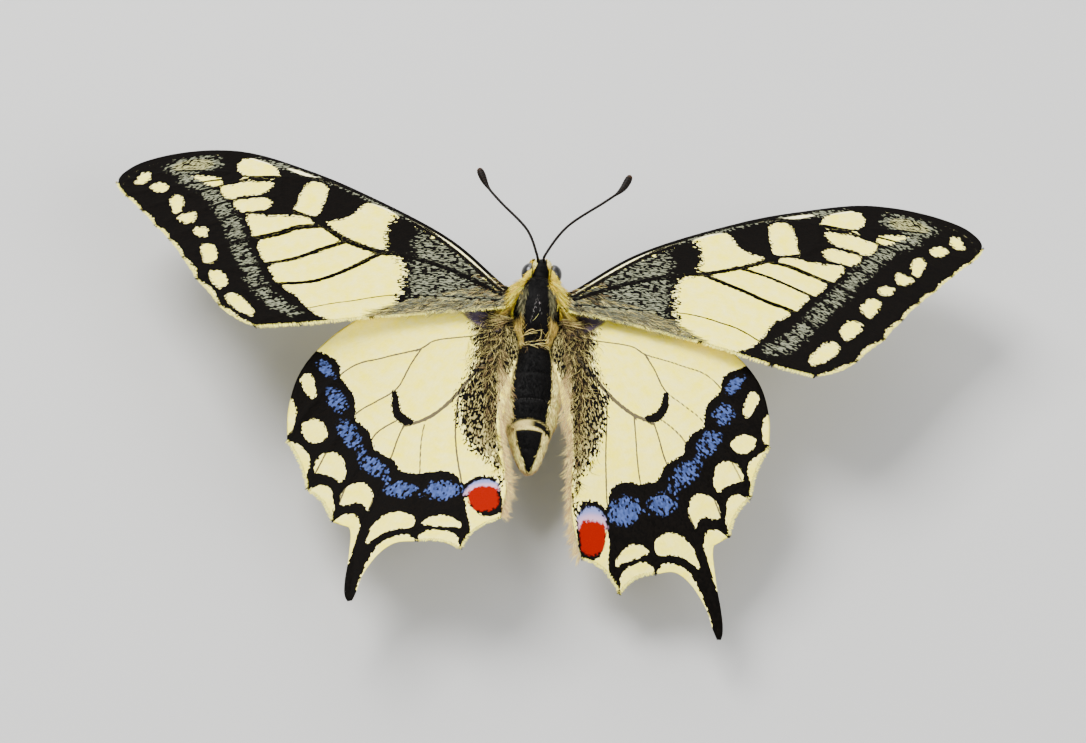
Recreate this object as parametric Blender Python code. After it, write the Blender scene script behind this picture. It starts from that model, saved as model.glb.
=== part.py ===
"""Swallowtail butterfly standing on its six feet with its wings spread.

Metres, +Z up, head towards +Y, the feet on Z = 0. Lengths below are in millimetres and angles in degrees.
A wing is drawn flat in its own plan (U out along the span, V forward), then bent a little and turned into its
pose at the side of the thorax. The left and the right wing of a pair share one plan.
"""

import math
from collections import namedtuple

import bpy
import numpy as np
from mathutils.geometry import delaunay_2d_cdt

MM = 0.001

# Where the middle of the thorax stands over the floor, and clearances
THORAX_AT = (-0.64, 10.32, 8.2)
WING_THICKNESS = 0.52
NODE_GAP = 0.3

# Body, in widths and heights that include its fur
HEAD_LENGTH = 2.7
HEAD_WIDTH = 3.4
HEAD_HEIGHT = 2.9
HEAD_CENTRE = (0.23, 4.55, 0.3)
EYE_RADIUS = 1.1
EYE_BULGE = 0.95
EYE_BASE = (1.15, 4.2, 0.35)
EYE_CROWN = 0.96
EYE_SIDES = 14
CHEEK_FULLNESS = 1.3
THORAX_FRONT = 2.9
THORAX_BACK = -4.7
THORAX_HALF_WIDTH = 3.0
THORAX_HALF_HEIGHT = 3.1
THORAX_FRONT_Z = 0.15
THORAX_BACK_Z = -0.2
THORAX_BLUNTNESS = 3.2
ABDOMEN_FRONT = -5.0
ABDOMEN_BACK = -18.6
ABDOMEN_HALF_WIDTH = 2.95
ABDOMEN_HALF_HEIGHT = 2.5
ABDOMEN_WAIST = 0.74
ABDOMEN_WIDEST = 0.36
ABDOMEN_TIP = 0.26
ABDOMEN_Z = -0.25
ABDOMEN_DROP = 1.0
ABDOMEN_SWAY = 0.45
HEAD_BLUNTNESS = 2.3
END_ANGLE = 1.547
PROFILE_RINGS = 11

# Feelers and mouth
ANTENNA_RADIUS = 0.26
CLUB_RADIUS = 0.46
CLUB_SHARE = 0.18
CLUB_SWELL = 2.26
CLUB_END = 0.55
ANTENNAE = {
    "left": ((-0.42, 5.5, 2.05), (-1.6, 8.0, 2.6), (-4.4, 10.9, 2.8), (-5.9, 12.9, 2.6), (-6.9, 14.9, 2.8)),
    "right": ((0.5, 5.5, 2.05), (2.5, 8.7, 2.6), (6.2, 12.0, 2.8), (7.7, 13.7, 2.6), (8.5, 15.4, 2.8)),
}
PALP_RADII = (0.38, 0.25)
PALP = ((0.9, 5.4, -1.95), (0.95, 6.05, -1.75), (0.9, 6.35, -1.2), (0.75, 6.3, -0.55))
PROBOSCIS_RADIUS = 0.25
PROBOSCIS_CENTRE = (0.0, 6.3, -2.8)
PROBOSCIS_COIL = 1.45
PROBOSCIS_PITCH = 0.6
PROBOSCIS_TURNS = 2.1

# Legs: thickness of each part, and its joints as (out, forward, height over the floor)
FEMUR_RADII = (0.29, 0.36, 0.36, 0.31)
TIBIA_RADII = (0.26, 0.29, 0.27)
TARSUS_RADII = (0.26, 0.25)
KNEE_TRIM = 0.25
ANKLE_TRIM = 0.2
TARSUS_KNOTS = ((0.04, 0.04, 0.04), (0.5, 0.5, 0.95), (0.72, 0.72, 1.0), (1.0, 1.0, 1.0))
FOOT_HEIGHT = 0.19
LEGS = {
    "fore": ((1.15, 1.9, 5.0), (4.3, 3.3, 5.9), (5.5, 6.2, 2.9), (7.2, 9.2, FOOT_HEIGHT)),
    "mid": ((1.5, -0.9, 4.75), (6.0, -0.4, 6.0), (9.0, -1.4, 2.6), (12.0, -2.6, FOOT_HEIGHT)),
    "hind": ((1.4, -3.1, 4.9), (5.2, -6.3, 6.3), (7.4, -10.4, 2.7), (9.2, -14.2, FOOT_HEIGHT)),
}

# Wings: each plan runs through its vein ends
FORE_COSTA = (
    (0.0, 1.3),
    (5.8, 7.6),
    (14.9, 13.2),
    (21.0, 15.9),
    (25.5, 17.3),
    (29.2, 17.4),
    (33.0, 16.65),
    (36.3, 15.3),
    (38.1, 13.75),
    (38.8, 12.4),
)
FORE_VEIN_ENDS = (
    (38.8, 12.4),
    (37.8, 10.2),
    (36.3, 8.2),
    (34.9, 6.0),
    (33.5, 4.1),
    (32.2, 1.7),
    (30.8, -1.2),
    (28.6, -4.5),
    (25.0, -7.15),
)
FORE_SCALLOPS = (-0.15, 0.12, 0.15, 0.15, 0.15, 0.15, 0.15, -0.35)
SCALLOP_POWER = 0.8
BULGE_POWER = 1.0
FORE_INNER = ((25.0, -7.15), (20.7, -6.4), (13.6, -4.6), (5.0, -2.6), (0.0, -1.6))
HIND_COSTA = (
    (1.5, 1.4),
    (6.5, 2.1),
    (12.5, 0.9),
    (16.3, -1.7),
    (19.2, -4.5),
    (20.9, -7.3),
    (21.6, -10.7),
    (21.5, -13.8),
)
HIND_VEIN_ENDS = ((21.5, -13.8), (19.4, -19.2), (17.1, -23.1))
HIND_SCALLOPS = (0.35, 0.45)
TAIL_OUTER = ((17.1, -23.1), (15.6, -24.0), (15.6, -27.0), (15.95, -30.0), (15.95, -31.8), (15.5, -32.9))
TAIL_INNER = ((15.5, -32.9), (15.0, -31.6), (14.4, -29.6), (13.1, -27.5), (11.6, -26.4), (9.8, -26.5))
HIND_INNER_ENDS = ((9.8, -26.5), (6.0, -28.2), (2.4, -24.7))
HIND_INNER_SCALLOPS = (0.6, 0.75)
HIND_INNER = ((2.4, -24.7), (1.6, -20.5), (1.8, -15.5), (2.1, -9.5), (1.9, -5.0), (1.5, -2.4))
MESH_STEP = 2.6
EDGE_STEP = 1.0
EDGE_CLEARANCE = 1.0

# A pose: the root beside the thorax, the turns, then the bends of the sheet in thousandths:
# rise = arch*u*u + twist*u*v + bow*v*v + tip*(u - TIP_FROM)**2 + dip*(v - DIP_FROM)**2
TIP_FROM = 20.0
DIP_FROM = -4.0
WingPose = namedtuple("WingPose", "side root sweep dihedral pitch arch twist bow tip dip stretch shear")
WING_POSES = {
    "forewing_left": WingPose(
        side=-1, root=(3.2, 0.7, 1.3), sweep=-4.3, dihedral=8.4, pitch=-10.0,
        arch=0.0, twist=0.0, bow=-1.4, tip=-3.8, dip=0.0, stretch=0.005, shear=-0.004,
    ),
    "forewing_right": WingPose(
        side=1, root=(3.2, 0.7, 1.3), sweep=-5.1, dihedral=10.5, pitch=-13.5,
        arch=-3.4, twist=2.0, bow=0.0, tip=5.9, dip=0.0, stretch=0.026, shear=0.010,
    ),
    "hindwing_left": WingPose(
        side=-1, root=(1.8, -2.4, 0.6), sweep=-3.2, dihedral=12.1, pitch=-2.6,
        arch=-3.5, twist=16.9, bow=5.1, tip=0.0, dip=-18.0, stretch=0.020, shear=0.010,
    ),
    "hindwing_right": WingPose(
        side=1, root=(1.8, -2.4, 0.6), sweep=2.7, dihedral=13.4, pitch=-3.3,
        arch=-6.7, twist=-1.8, bow=-7.8, tip=0.0, dip=-18.0, stretch=-0.023, shear=-0.006,
    ),
}

MATERIALS = {
    "wing": ((0.72, 0.62, 0.30, 1.0), 0.65),
    "body": ((0.06, 0.045, 0.03, 1.0), 0.8),
    "leg": ((0.05, 0.04, 0.03, 1.0), 0.5),
    "eye": ((0.02, 0.015, 0.012, 1.0), 0.15),
}


def rotation(axis, degrees):
    """The 3 x 3 turn about one axis, as a numpy array."""
    c = math.cos(math.radians(degrees))
    s = math.sin(math.radians(degrees))
    rows = {
        "x": ((1, 0, 0), (0, c, -s), (0, s, c)),
        "y": ((c, 0, s), (0, 1, 0), (-s, 0, c)),
        "z": ((c, -s, 0), (s, c, 0), (0, 0, 1)),
    }
    return np.array(rows[axis])


def smooth_through(points, step=EDGE_STEP):
    """A smooth curve through the points, sampled about every step: cubic Hermite with Catmull-Rom slopes."""
    points = np.array(points, float)
    slopes = np.gradient(points, axis=0)
    gaps = np.linalg.norm(np.diff(points, axis=0), axis=1)
    pieces = []
    for i, gap in enumerate(gaps):
        t = np.linspace(0.0, 1.0, max(2, round(gap / step) + 1))[:-1, None]
        pieces.append(
            (2 * t**3 - 3 * t**2 + 1) * points[i]
            + (t**3 - 2 * t**2 + t) * slopes[i]
            + (3 * t**2 - 2 * t**3) * points[i + 1]
            + (t**3 - t**2) * slopes[i + 1]
        )
    return np.concatenate(pieces + [points[-1:]])


def scalloped(ends, depths, step=EDGE_STEP):
    """The margin from vein end to vein end, drawn in between them by each depth, or out by a negative one."""
    pieces = []
    for start, end, depth in zip(np.array(ends[:-1], float), np.array(ends[1:], float), depths):
        run = end - start
        inward = np.array((run[1], -run[0])) / np.linalg.norm(run)
        t = np.linspace(0.0, 1.0, max(3, round(np.linalg.norm(run) / step) + 1))[:-1, None]
        power = SCALLOP_POWER if depth > 0 else BULGE_POWER
        pieces.append(start + t * run + depth * np.sin(math.pi * t) ** power * inward)
    return np.concatenate(pieces + [np.array(ends[-1:], float)])


def joined(curves):
    """Curves that follow one another, as one closed outline without its doubled joints."""
    return np.concatenate([curve[:-1] for curve in curves])


def forewing_outline():
    termen = scalloped(FORE_VEIN_ENDS, FORE_SCALLOPS)
    root = np.array((FORE_INNER[-1], FORE_COSTA[0]))
    return joined([smooth_through(FORE_COSTA), termen, smooth_through(FORE_INNER), root])


def hindwing_outline():
    return joined([
        smooth_through(HIND_COSTA),
        scalloped(HIND_VEIN_ENDS, HIND_SCALLOPS),
        smooth_through(TAIL_OUTER),
        smooth_through(TAIL_INNER),
        scalloped(HIND_INNER_ENDS, HIND_INNER_SCALLOPS),
        smooth_through(HIND_INNER),
        np.array((HIND_INNER[-1], HIND_COSTA[0])),
    ])


def inside(points, outline, margin):
    """Which points lie inside the outline, and further than margin from it."""
    start = outline[None]
    run = np.roll(outline, -1, axis=0)[None] - start
    gap = points[:, None] - start
    crosses = (start[..., 1] > points[:, None, 1]) != ((start + run)[..., 1] > points[:, None, 1])
    height = np.where(run[..., 1] == 0, 1.0, run[..., 1])
    left = gap[..., 0] < run[..., 0] * gap[..., 1] / height
    share = np.clip((gap * run).sum(-1) / (run * run).sum(-1), 0.0, 1.0)
    away = np.linalg.norm(gap - share[..., None] * run, axis=-1).min(axis=1)
    return ((crosses & left).sum(axis=1) % 2 == 1) & (away > margin)


def flat_mesh(outline):
    """Plan points and triangles that fill the outline, with inner points on a triangular grid."""
    low = outline.min(axis=0)
    high = outline.max(axis=0)
    rows = np.arange(low[1], high[1], MESH_STEP * math.sqrt(0.75))
    columns = np.arange(low[0], high[0], MESH_STEP)
    x = columns[None] + (np.arange(len(rows)) % 2)[:, None] * MESH_STEP / 2
    grid = np.stack([x, np.repeat(rows[:, None], len(columns), axis=1)], axis=-1).reshape(-1, 2)
    grid = grid[inside(grid, outline, EDGE_CLEARANCE)]
    points = [tuple(p) for p in np.concatenate([outline, grid]).tolist()]
    made = delaunay_2d_cdt(points, [], [list(range(len(outline)))], 1, 1e-6)
    return np.array([tuple(p) for p in made[0]]), [tuple(face) for face in made[2]]


def wing_surface(plan, pose):
    """Where plan points lie on the bent, posed mid surface of a wing."""
    u = plan[:, 0] * (1 + pose.stretch) + pose.shear * plan[:, 1]
    v = plan[:, 1] + pose.shear * plan[:, 0]
    rise = pose.arch * u**2 + pose.twist * u * v + pose.bow * v**2
    rise = rise + pose.tip * np.maximum(u - TIP_FROM, 0) ** 2
    rise = rise + pose.dip * np.maximum(v - DIP_FROM, 0) ** 2
    flat = np.stack([u, v, rise / 1000], axis=1)
    turn = rotation("z", pose.sweep) @ rotation("y", -pose.dihedral) @ rotation("x", pose.pitch)
    placed = flat @ turn.T + np.array(pose.root)
    return placed * np.array((pose.side, 1, 1))


def wing_normals(plan, pose):
    """Unit normals of the mid surface, pointing up, by small steps along the plan."""
    here = wing_surface(plan, pose)
    out = wing_surface(plan + np.array((0.01, 0)), pose) - here
    ahead = wing_surface(plan + np.array((0, 0.01)), pose) - here
    normals = np.cross(out, ahead) * pose.side
    return normals / np.linalg.norm(normals, axis=1)[:, None]


def rim_edges(faces):
    """The edges that only one face uses, in the direction that the face runs."""
    edges = [(f[i], f[(i + 1) % len(f)]) for f in faces for i in range(len(f))]
    used = set(edges)
    return [(a, b) for a, b in edges if (b, a) not in used]


def wing(name, outline):
    """A wing as a closed sheet of even thickness about its mid surface."""
    pose = WING_POSES[name]
    plan, faces = flat_mesh(outline)
    middle = wing_surface(plan, pose)
    half = wing_normals(plan, pose) * WING_THICKNESS / 2
    count = len(plan)
    if pose.side < 0:
        faces = [face[::-1] for face in faces]
    under = [tuple(i + count for i in face[::-1]) for face in faces]
    rim = [(b, a, a + count, b + count) for a, b in rim_edges(faces)]
    add(name, np.concatenate([middle + half, middle - half]), faces + under + rim, "wing", smooth=False)


def add(name, points, faces, material, smooth=True):
    """One closed body, moved from the middle of the thorax to where it stands over the floor."""
    mesh = bpy.data.meshes.new(name)
    placed = (np.array(points, float) + np.array(THORAX_AT)) * MM
    mesh.from_pydata(placed.tolist(), [], faces)
    mesh.polygons.foreach_set("use_smooth", [smooth] * len(mesh.polygons))
    mesh.update()
    body = bpy.data.objects.new(name, mesh)
    bpy.context.scene.collection.objects.link(body)
    body.data.materials.append(material_for(name, material))


def material_for(name, kind):
    colour, roughness = MATERIALS[kind]
    made = bpy.data.materials.new(name)
    made.use_nodes = True
    shader = made.node_tree.nodes["Principled BSDF"]
    shader.inputs["Base Color"].default_value = colour
    shader.inputs["Roughness"].default_value = roughness
    return made


def tube(path, radii, sides=8, floor=None, helper=(0.0, 0.0, 1.0)):
    """Rings of the given radii across a path, closed at both ends. A floor flattens what would pass it."""
    path = np.array(path, float)
    along = np.gradient(path, axis=0)
    along = along / np.linalg.norm(along, axis=1)[:, None]
    across = np.cross(along, np.array(helper))
    across = across / np.linalg.norm(across, axis=1)[:, None]
    upward = np.cross(along, across)
    angles = (np.arange(sides) + 0.5) * 2 * math.pi / sides
    ring = np.cos(angles)[:, None] * across[:, None] + np.sin(angles)[:, None] * upward[:, None]
    points = (path[:, None] + ring * np.array(radii, float)[:, None, None]).reshape(-1, 3)
    if floor is not None:
        points[:, 2] = np.maximum(points[:, 2], floor)
    return points, ring_faces(len(path), sides)


def ring_faces(rings, sides):
    """Quads from ring to ring, and a cap at each end."""
    faces = [
        (r * sides + i, r * sides + (i + 1) % sides, (r + 1) * sides + (i + 1) % sides, (r + 1) * sides + i)
        for r in range(rings - 1)
        for i in range(sides)
    ]
    last = (rings - 1) * sides
    return faces + [tuple(range(sides))[::-1], tuple(last + i for i in range(sides))]


def loft(stations, sides):
    """A body along Y, from front to back, through stations of (y, half width, half height, centre height)."""
    rows = np.array(stations, float)
    angles = np.arange(sides) * 2 * math.pi / sides
    x = rows[:, 1, None] * np.cos(angles)
    y = np.repeat(rows[:, 0, None], sides, axis=1)
    z = rows[:, 3, None] + rows[:, 2, None] * np.sin(angles)
    return np.stack([x, y, z], axis=-1).reshape(-1, 3), ring_faces(len(rows), sides)


def round_profile(front, back, half_width, half_height, front_z, back_z, bluntness):
    """Stations of a body that is rounded at both ends: a superellipse from front to back."""
    t = np.sin(np.linspace(-END_ANGLE, END_ANGLE, PROFILE_RINGS))
    swell = (1 - np.abs(t) ** bluntness) ** (1 / bluntness)
    share = (t + 1) / 2
    y = front + (back - front) * share
    z = front_z + (back_z - front_z) * share
    return np.stack([y, half_width * swell, half_height * swell, z], axis=1)


def head():
    """A short round head, drawn in at the sides so that the eyes sit on it."""
    x, y, z = HEAD_CENTRE
    half = HEAD_LENGTH / 2
    profile = round_profile(y + half, y - half, HEAD_WIDTH / 2, HEAD_HEIGHT / 2, z, z, HEAD_BLUNTNESS)
    points, faces = loft(profile, sides=14)
    side = EYE_BASE[0] - NODE_GAP
    points[:, 0] = x + side * np.tanh(points[:, 0] / side * CHEEK_FULLNESS)
    add("head", points, faces, "body")


def eyes():
    """Each eye is a dome on the side of the head: rings that shrink from its base to its crown."""
    lift = np.linspace(0.0, EYE_CROWN, 6)
    rings = EYE_RADIUS * np.sqrt(1 - lift**2)
    angles = np.arange(EYE_SIDES) * 2 * math.pi / EYE_SIDES
    x = np.repeat(lift[:, None] * EYE_BULGE, EYE_SIDES, axis=1)
    y = rings[:, None] * np.cos(angles)
    z = rings[:, None] * np.sin(angles)
    dome = np.stack([x, y, z], axis=-1).reshape(-1, 3) + np.array(EYE_BASE)
    faces = ring_faces(len(lift), EYE_SIDES)
    middle = np.array((HEAD_CENTRE[0], 0.0, 0.0))
    add("eye_right", dome + middle, faces, "eye")
    add("eye_left", dome * np.array((-1, 1, 1)) + middle, [face[::-1] for face in faces], "eye")


def thorax():
    profile = round_profile(
        THORAX_FRONT, THORAX_BACK, THORAX_HALF_WIDTH, THORAX_HALF_HEIGHT, THORAX_FRONT_Z, THORAX_BACK_Z,
        THORAX_BLUNTNESS,
    )
    add("thorax", *loft(profile, sides=20), "body")


def abdomen():
    """Widest a third of the way back, then drawn to a blunt end that hangs and sways aside a little."""
    share = np.linspace(0.0, 1.0, 15)
    rise = np.sin(np.minimum(share / ABDOMEN_WIDEST, 1.0) * math.pi / 2)
    fall = np.maximum(share - ABDOMEN_WIDEST, 0.0) / (1 - ABDOMEN_WIDEST)
    size = (ABDOMEN_WAIST + (1 - ABDOMEN_WAIST) * rise) * np.sqrt(1 - (1 - ABDOMEN_TIP**2) * fall**2)
    y = ABDOMEN_FRONT + (ABDOMEN_BACK - ABDOMEN_FRONT) * share
    z = ABDOMEN_Z - ABDOMEN_DROP * share**2
    profile = np.stack([y, ABDOMEN_HALF_WIDTH * size, ABDOMEN_HALF_HEIGHT * size, z], axis=1)
    points, faces = loft(profile, sides=16)
    sway = (ABDOMEN_FRONT - points[:, 1]) / (ABDOMEN_FRONT - ABDOMEN_BACK)
    points[:, 0] += ABDOMEN_SWAY * sway**2
    add("abdomen", points, faces, "body")


def antennae():
    """Each feeler runs forward and out from the brow, and thickens into a club at its end."""
    for word, knots in ANTENNAE.items():
        path = smooth_through(knots, step=0.7)
        share = np.linspace(0.0, 1.0, len(path))
        club = np.clip((share - (1 - CLUB_SHARE)) / CLUB_SHARE, 0.0, 1.0)
        radii = ANTENNA_RADIUS + (CLUB_RADIUS - ANTENNA_RADIUS) * np.sin(club * CLUB_SWELL)
        radii[-1] *= CLUB_END
        add(f"antenna_{word}", *tube(path, radii), "leg")


def mouthparts():
    """Two upturned palps, and the proboscis coiled between them like a watch spring."""
    for side, word in ((-1, "left"), (1, "right")):
        path = smooth_through(np.array(PALP) * np.array((side, 1, 1)), step=0.5)
        radii = np.linspace(*PALP_RADII, len(path))
        add(f"palp_{word}", *tube(path, radii, helper=(1.0, 0.0, 0.0)), "body")
    angle = np.linspace(0.0, PROBOSCIS_TURNS * 2 * math.pi, 34)
    reach = PROBOSCIS_COIL - PROBOSCIS_PITCH * angle / (2 * math.pi)
    coil = np.stack([0 * angle, reach * np.sin(angle), reach * np.cos(angle)], axis=1)
    radii = np.full(len(angle), PROBOSCIS_RADIUS)
    add("proboscis", *tube(PROBOSCIS_CENTRE + coil, radii, sides=6, helper=(1.0, 0.0, 0.0)), "leg")


def limb(name, start, end, radii, trim_start, trim_end):
    """A leg part from joint to joint, trimmed at the ends so that its neighbours stay clear."""
    along = (end - start) / np.linalg.norm(end - start)
    start = start + along * trim_start
    end = end - along * trim_end
    share = np.linspace(0.0, 1.0, len(radii))[:, None]
    add(name, *tube(start + share * (end - start), radii), "leg")


def tarsus(name, ankle, toe):
    """The foot comes down from the ankle and lies along the floor, where its underside is flat."""
    run = toe - ankle
    path = smooth_through([ankle + run * np.array(knot) for knot in TARSUS_KNOTS], step=0.8)
    add(name, *tube(path, np.linspace(*TARSUS_RADII, len(path)), floor=-THORAX_AT[2]), "leg")


def legs():
    for side, word in ((-1, "left"), (1, "right")):
        for pair, joints in LEGS.items():
            placed = np.array(joints) * np.array((side, 1, 1)) - np.array((0, 0, THORAX_AT[2]))
            hip, knee, ankle, toe = placed
            limb(f"femur_{pair}_{word}", hip, knee, FEMUR_RADII, 0.0, KNEE_TRIM)
            limb(f"tibia_{pair}_{word}", knee, ankle, TIBIA_RADII, KNEE_TRIM, ANKLE_TRIM)
            tarsus(f"tarsus_{pair}_{word}", ankle, toe)


def build():
    for old in list(bpy.data.objects):
        bpy.data.objects.remove(old)
    for name in WING_POSES:
        wing(name, forewing_outline() if name.startswith("fore") else hindwing_outline())
    head()
    eyes()
    thorax()
    abdomen()
    antennae()
    mouthparts()
    legs()


build()
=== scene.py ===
"""Swallowtail butterfly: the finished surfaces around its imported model.

The frame stands at the top. Every piece is made in millimetres about the middle of the thorax, and is then put
where that stands over the floor. A wing's pattern is drawn flat in its plan (U out along the span, V forward).
"""
import math
from collections import namedtuple

import bpy
import numpy as np
from mathutils import Matrix


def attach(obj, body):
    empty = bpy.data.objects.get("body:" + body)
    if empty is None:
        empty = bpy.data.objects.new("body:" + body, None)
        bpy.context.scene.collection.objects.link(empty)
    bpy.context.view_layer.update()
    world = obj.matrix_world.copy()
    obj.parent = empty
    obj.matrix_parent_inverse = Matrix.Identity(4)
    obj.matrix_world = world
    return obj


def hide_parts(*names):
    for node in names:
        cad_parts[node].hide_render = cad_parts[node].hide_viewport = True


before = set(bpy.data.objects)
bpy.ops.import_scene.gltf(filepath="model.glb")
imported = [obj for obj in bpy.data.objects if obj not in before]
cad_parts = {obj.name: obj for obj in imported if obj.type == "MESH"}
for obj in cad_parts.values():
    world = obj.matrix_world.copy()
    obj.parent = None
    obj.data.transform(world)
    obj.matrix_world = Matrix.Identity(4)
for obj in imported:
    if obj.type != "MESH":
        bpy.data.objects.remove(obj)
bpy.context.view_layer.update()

bl_info = {
    "name": "Swallowtail Butterfly",
    "version": (1, 0, 0),
    "blender": (4, 5, 0),
    "location": "View3D > Sidebar > Butterfly",
    "description": "Builds the scaled wings, furred body and limbs of a swallowtail butterfly",
    "category": "Add Mesh",
}

MM = 0.001
THORAX_AT = np.array((-0.64, 10.32, 8.2))
RIGHT = 1
LEFT = -1
SIDES = {"left": LEFT, "right": RIGHT}

# --- Wing plans, in millimetres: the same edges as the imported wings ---
FORE_COSTA = (
    (0.0, 1.3), (5.8, 7.6), (14.9, 13.2), (21.0, 15.9), (25.5, 17.3), (29.2, 17.4), (33.0, 16.65), (36.3, 15.3),
    (38.1, 13.75), (38.8, 12.4),
)
FORE_VEIN_ENDS = (
    (38.8, 12.4), (37.8, 10.2), (36.3, 8.2), (34.9, 6.0), (33.5, 4.1), (32.2, 1.7), (30.8, -1.2), (28.6, -4.5),
    (25.0, -7.15),
)
FORE_SCALLOPS = (-0.15, 0.12, 0.15, 0.15, 0.15, 0.15, 0.15, -0.35)
FORE_FRINGES = (0.06, 0.13, 0.21, 0.26, 0.29, 0.33, 0.36, 0.31)
SCALLOP_POWER = 0.8
BULGE_POWER = 1.0
FORE_INNER = ((25.0, -7.15), (20.7, -6.4), (13.6, -4.6), (5.0, -2.6), (0.0, -1.6))
HIND_COSTA = (
    (1.5, 1.4), (6.5, 2.1), (12.5, 0.9), (16.3, -1.7), (19.2, -4.5), (20.9, -7.3), (21.6, -10.7), (21.5, -13.8),
)
HIND_VEIN_ENDS = ((21.5, -13.8), (19.4, -19.2), (17.1, -23.1))
HIND_SCALLOPS = (0.35, 0.45)
TAIL_OUTER = ((17.1, -23.1), (15.6, -24.0), (15.6, -27.0), (15.95, -30.0), (15.95, -31.8), (15.5, -32.9))
TAIL_INNER = ((15.5, -32.9), (15.0, -31.6), (14.4, -29.6), (13.1, -27.5), (11.6, -26.4), (9.8, -26.5))
HIND_INNER_ENDS = ((9.8, -26.5), (6.0, -28.2), (2.4, -24.7))
HIND_INNER_SCALLOPS = (0.6, 0.75)
HIND_INNER = ((2.4, -24.7), (1.6, -20.5), (1.8, -15.5), (2.1, -9.5), (1.9, -5.0), (1.5, -2.4))
EDGE_STEP = 0.1
PATTERN_STEP = 0.5
TIP_TRIM = 5
# Where each sheet runs in under the hair of the body: the first point of its leading and of its trailing edge
WING_ROOTS = {"fore": ((-0.95, 0.95), (-0.95, -1.2)), "hind": ((0.0, 2.2), (0.0, -2.4))}
# How far the hindwing runs on under the forewing, and in beside the abdomen
HIND_UNDERLAP = 2.0
HIND_FOLD = 1.2
HIND_ROOT_FOLD = 1.5

# A pose: the root beside the thorax, the turns, then the bends of the sheet in thousandths
TIP_FROM = 20.0
DIP_FROM = -4.0
WingPose = namedtuple("WingPose", "side root sweep dihedral pitch arch twist bow tip dip stretch shear")
WING_POSES = {
    "forewing_left": WingPose(LEFT, (3.2, 0.7, 1.3), -4.3, 8.4, -10.0, 0.0, 0.0, -1.4, -3.8, 0.0, 0.005, -0.004),
    "forewing_right": WingPose(RIGHT, (3.2, 0.7, 1.3), -5.1, 10.5, -13.5, -3.4, 2.0, 0.0, 5.9, 0.0, 0.026, 0.010),
    "hindwing_left": WingPose(
        LEFT, (1.8, -2.4, 0.6), -3.2, 12.1, -2.6, -3.5, 16.9, 5.1, 0.0, -18.0, 0.020, 0.010
    ),
    "hindwing_right": WingPose(
        RIGHT, (1.8, -2.4, 0.6), 2.7, 13.4, -3.3, -6.7, -1.8, -7.8, 0.0, -18.0, -0.023, -0.006
    ),
}
WING_ROWS = 250
WING_COLUMNS = 100
MEMBRANE_HALF = 0.085
RIM_HALF = 0.012
RIM_REACH = 1.2
VEIN_RIDGE = 0.05
VEIN_RIDGE_REACH = 0.24
CELL_SAG = 0.10
CELL_SAG_REACH = 0.9
# Distances from a vein are kept up to this many of its half widths
VEIN_REACH = 30

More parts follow.
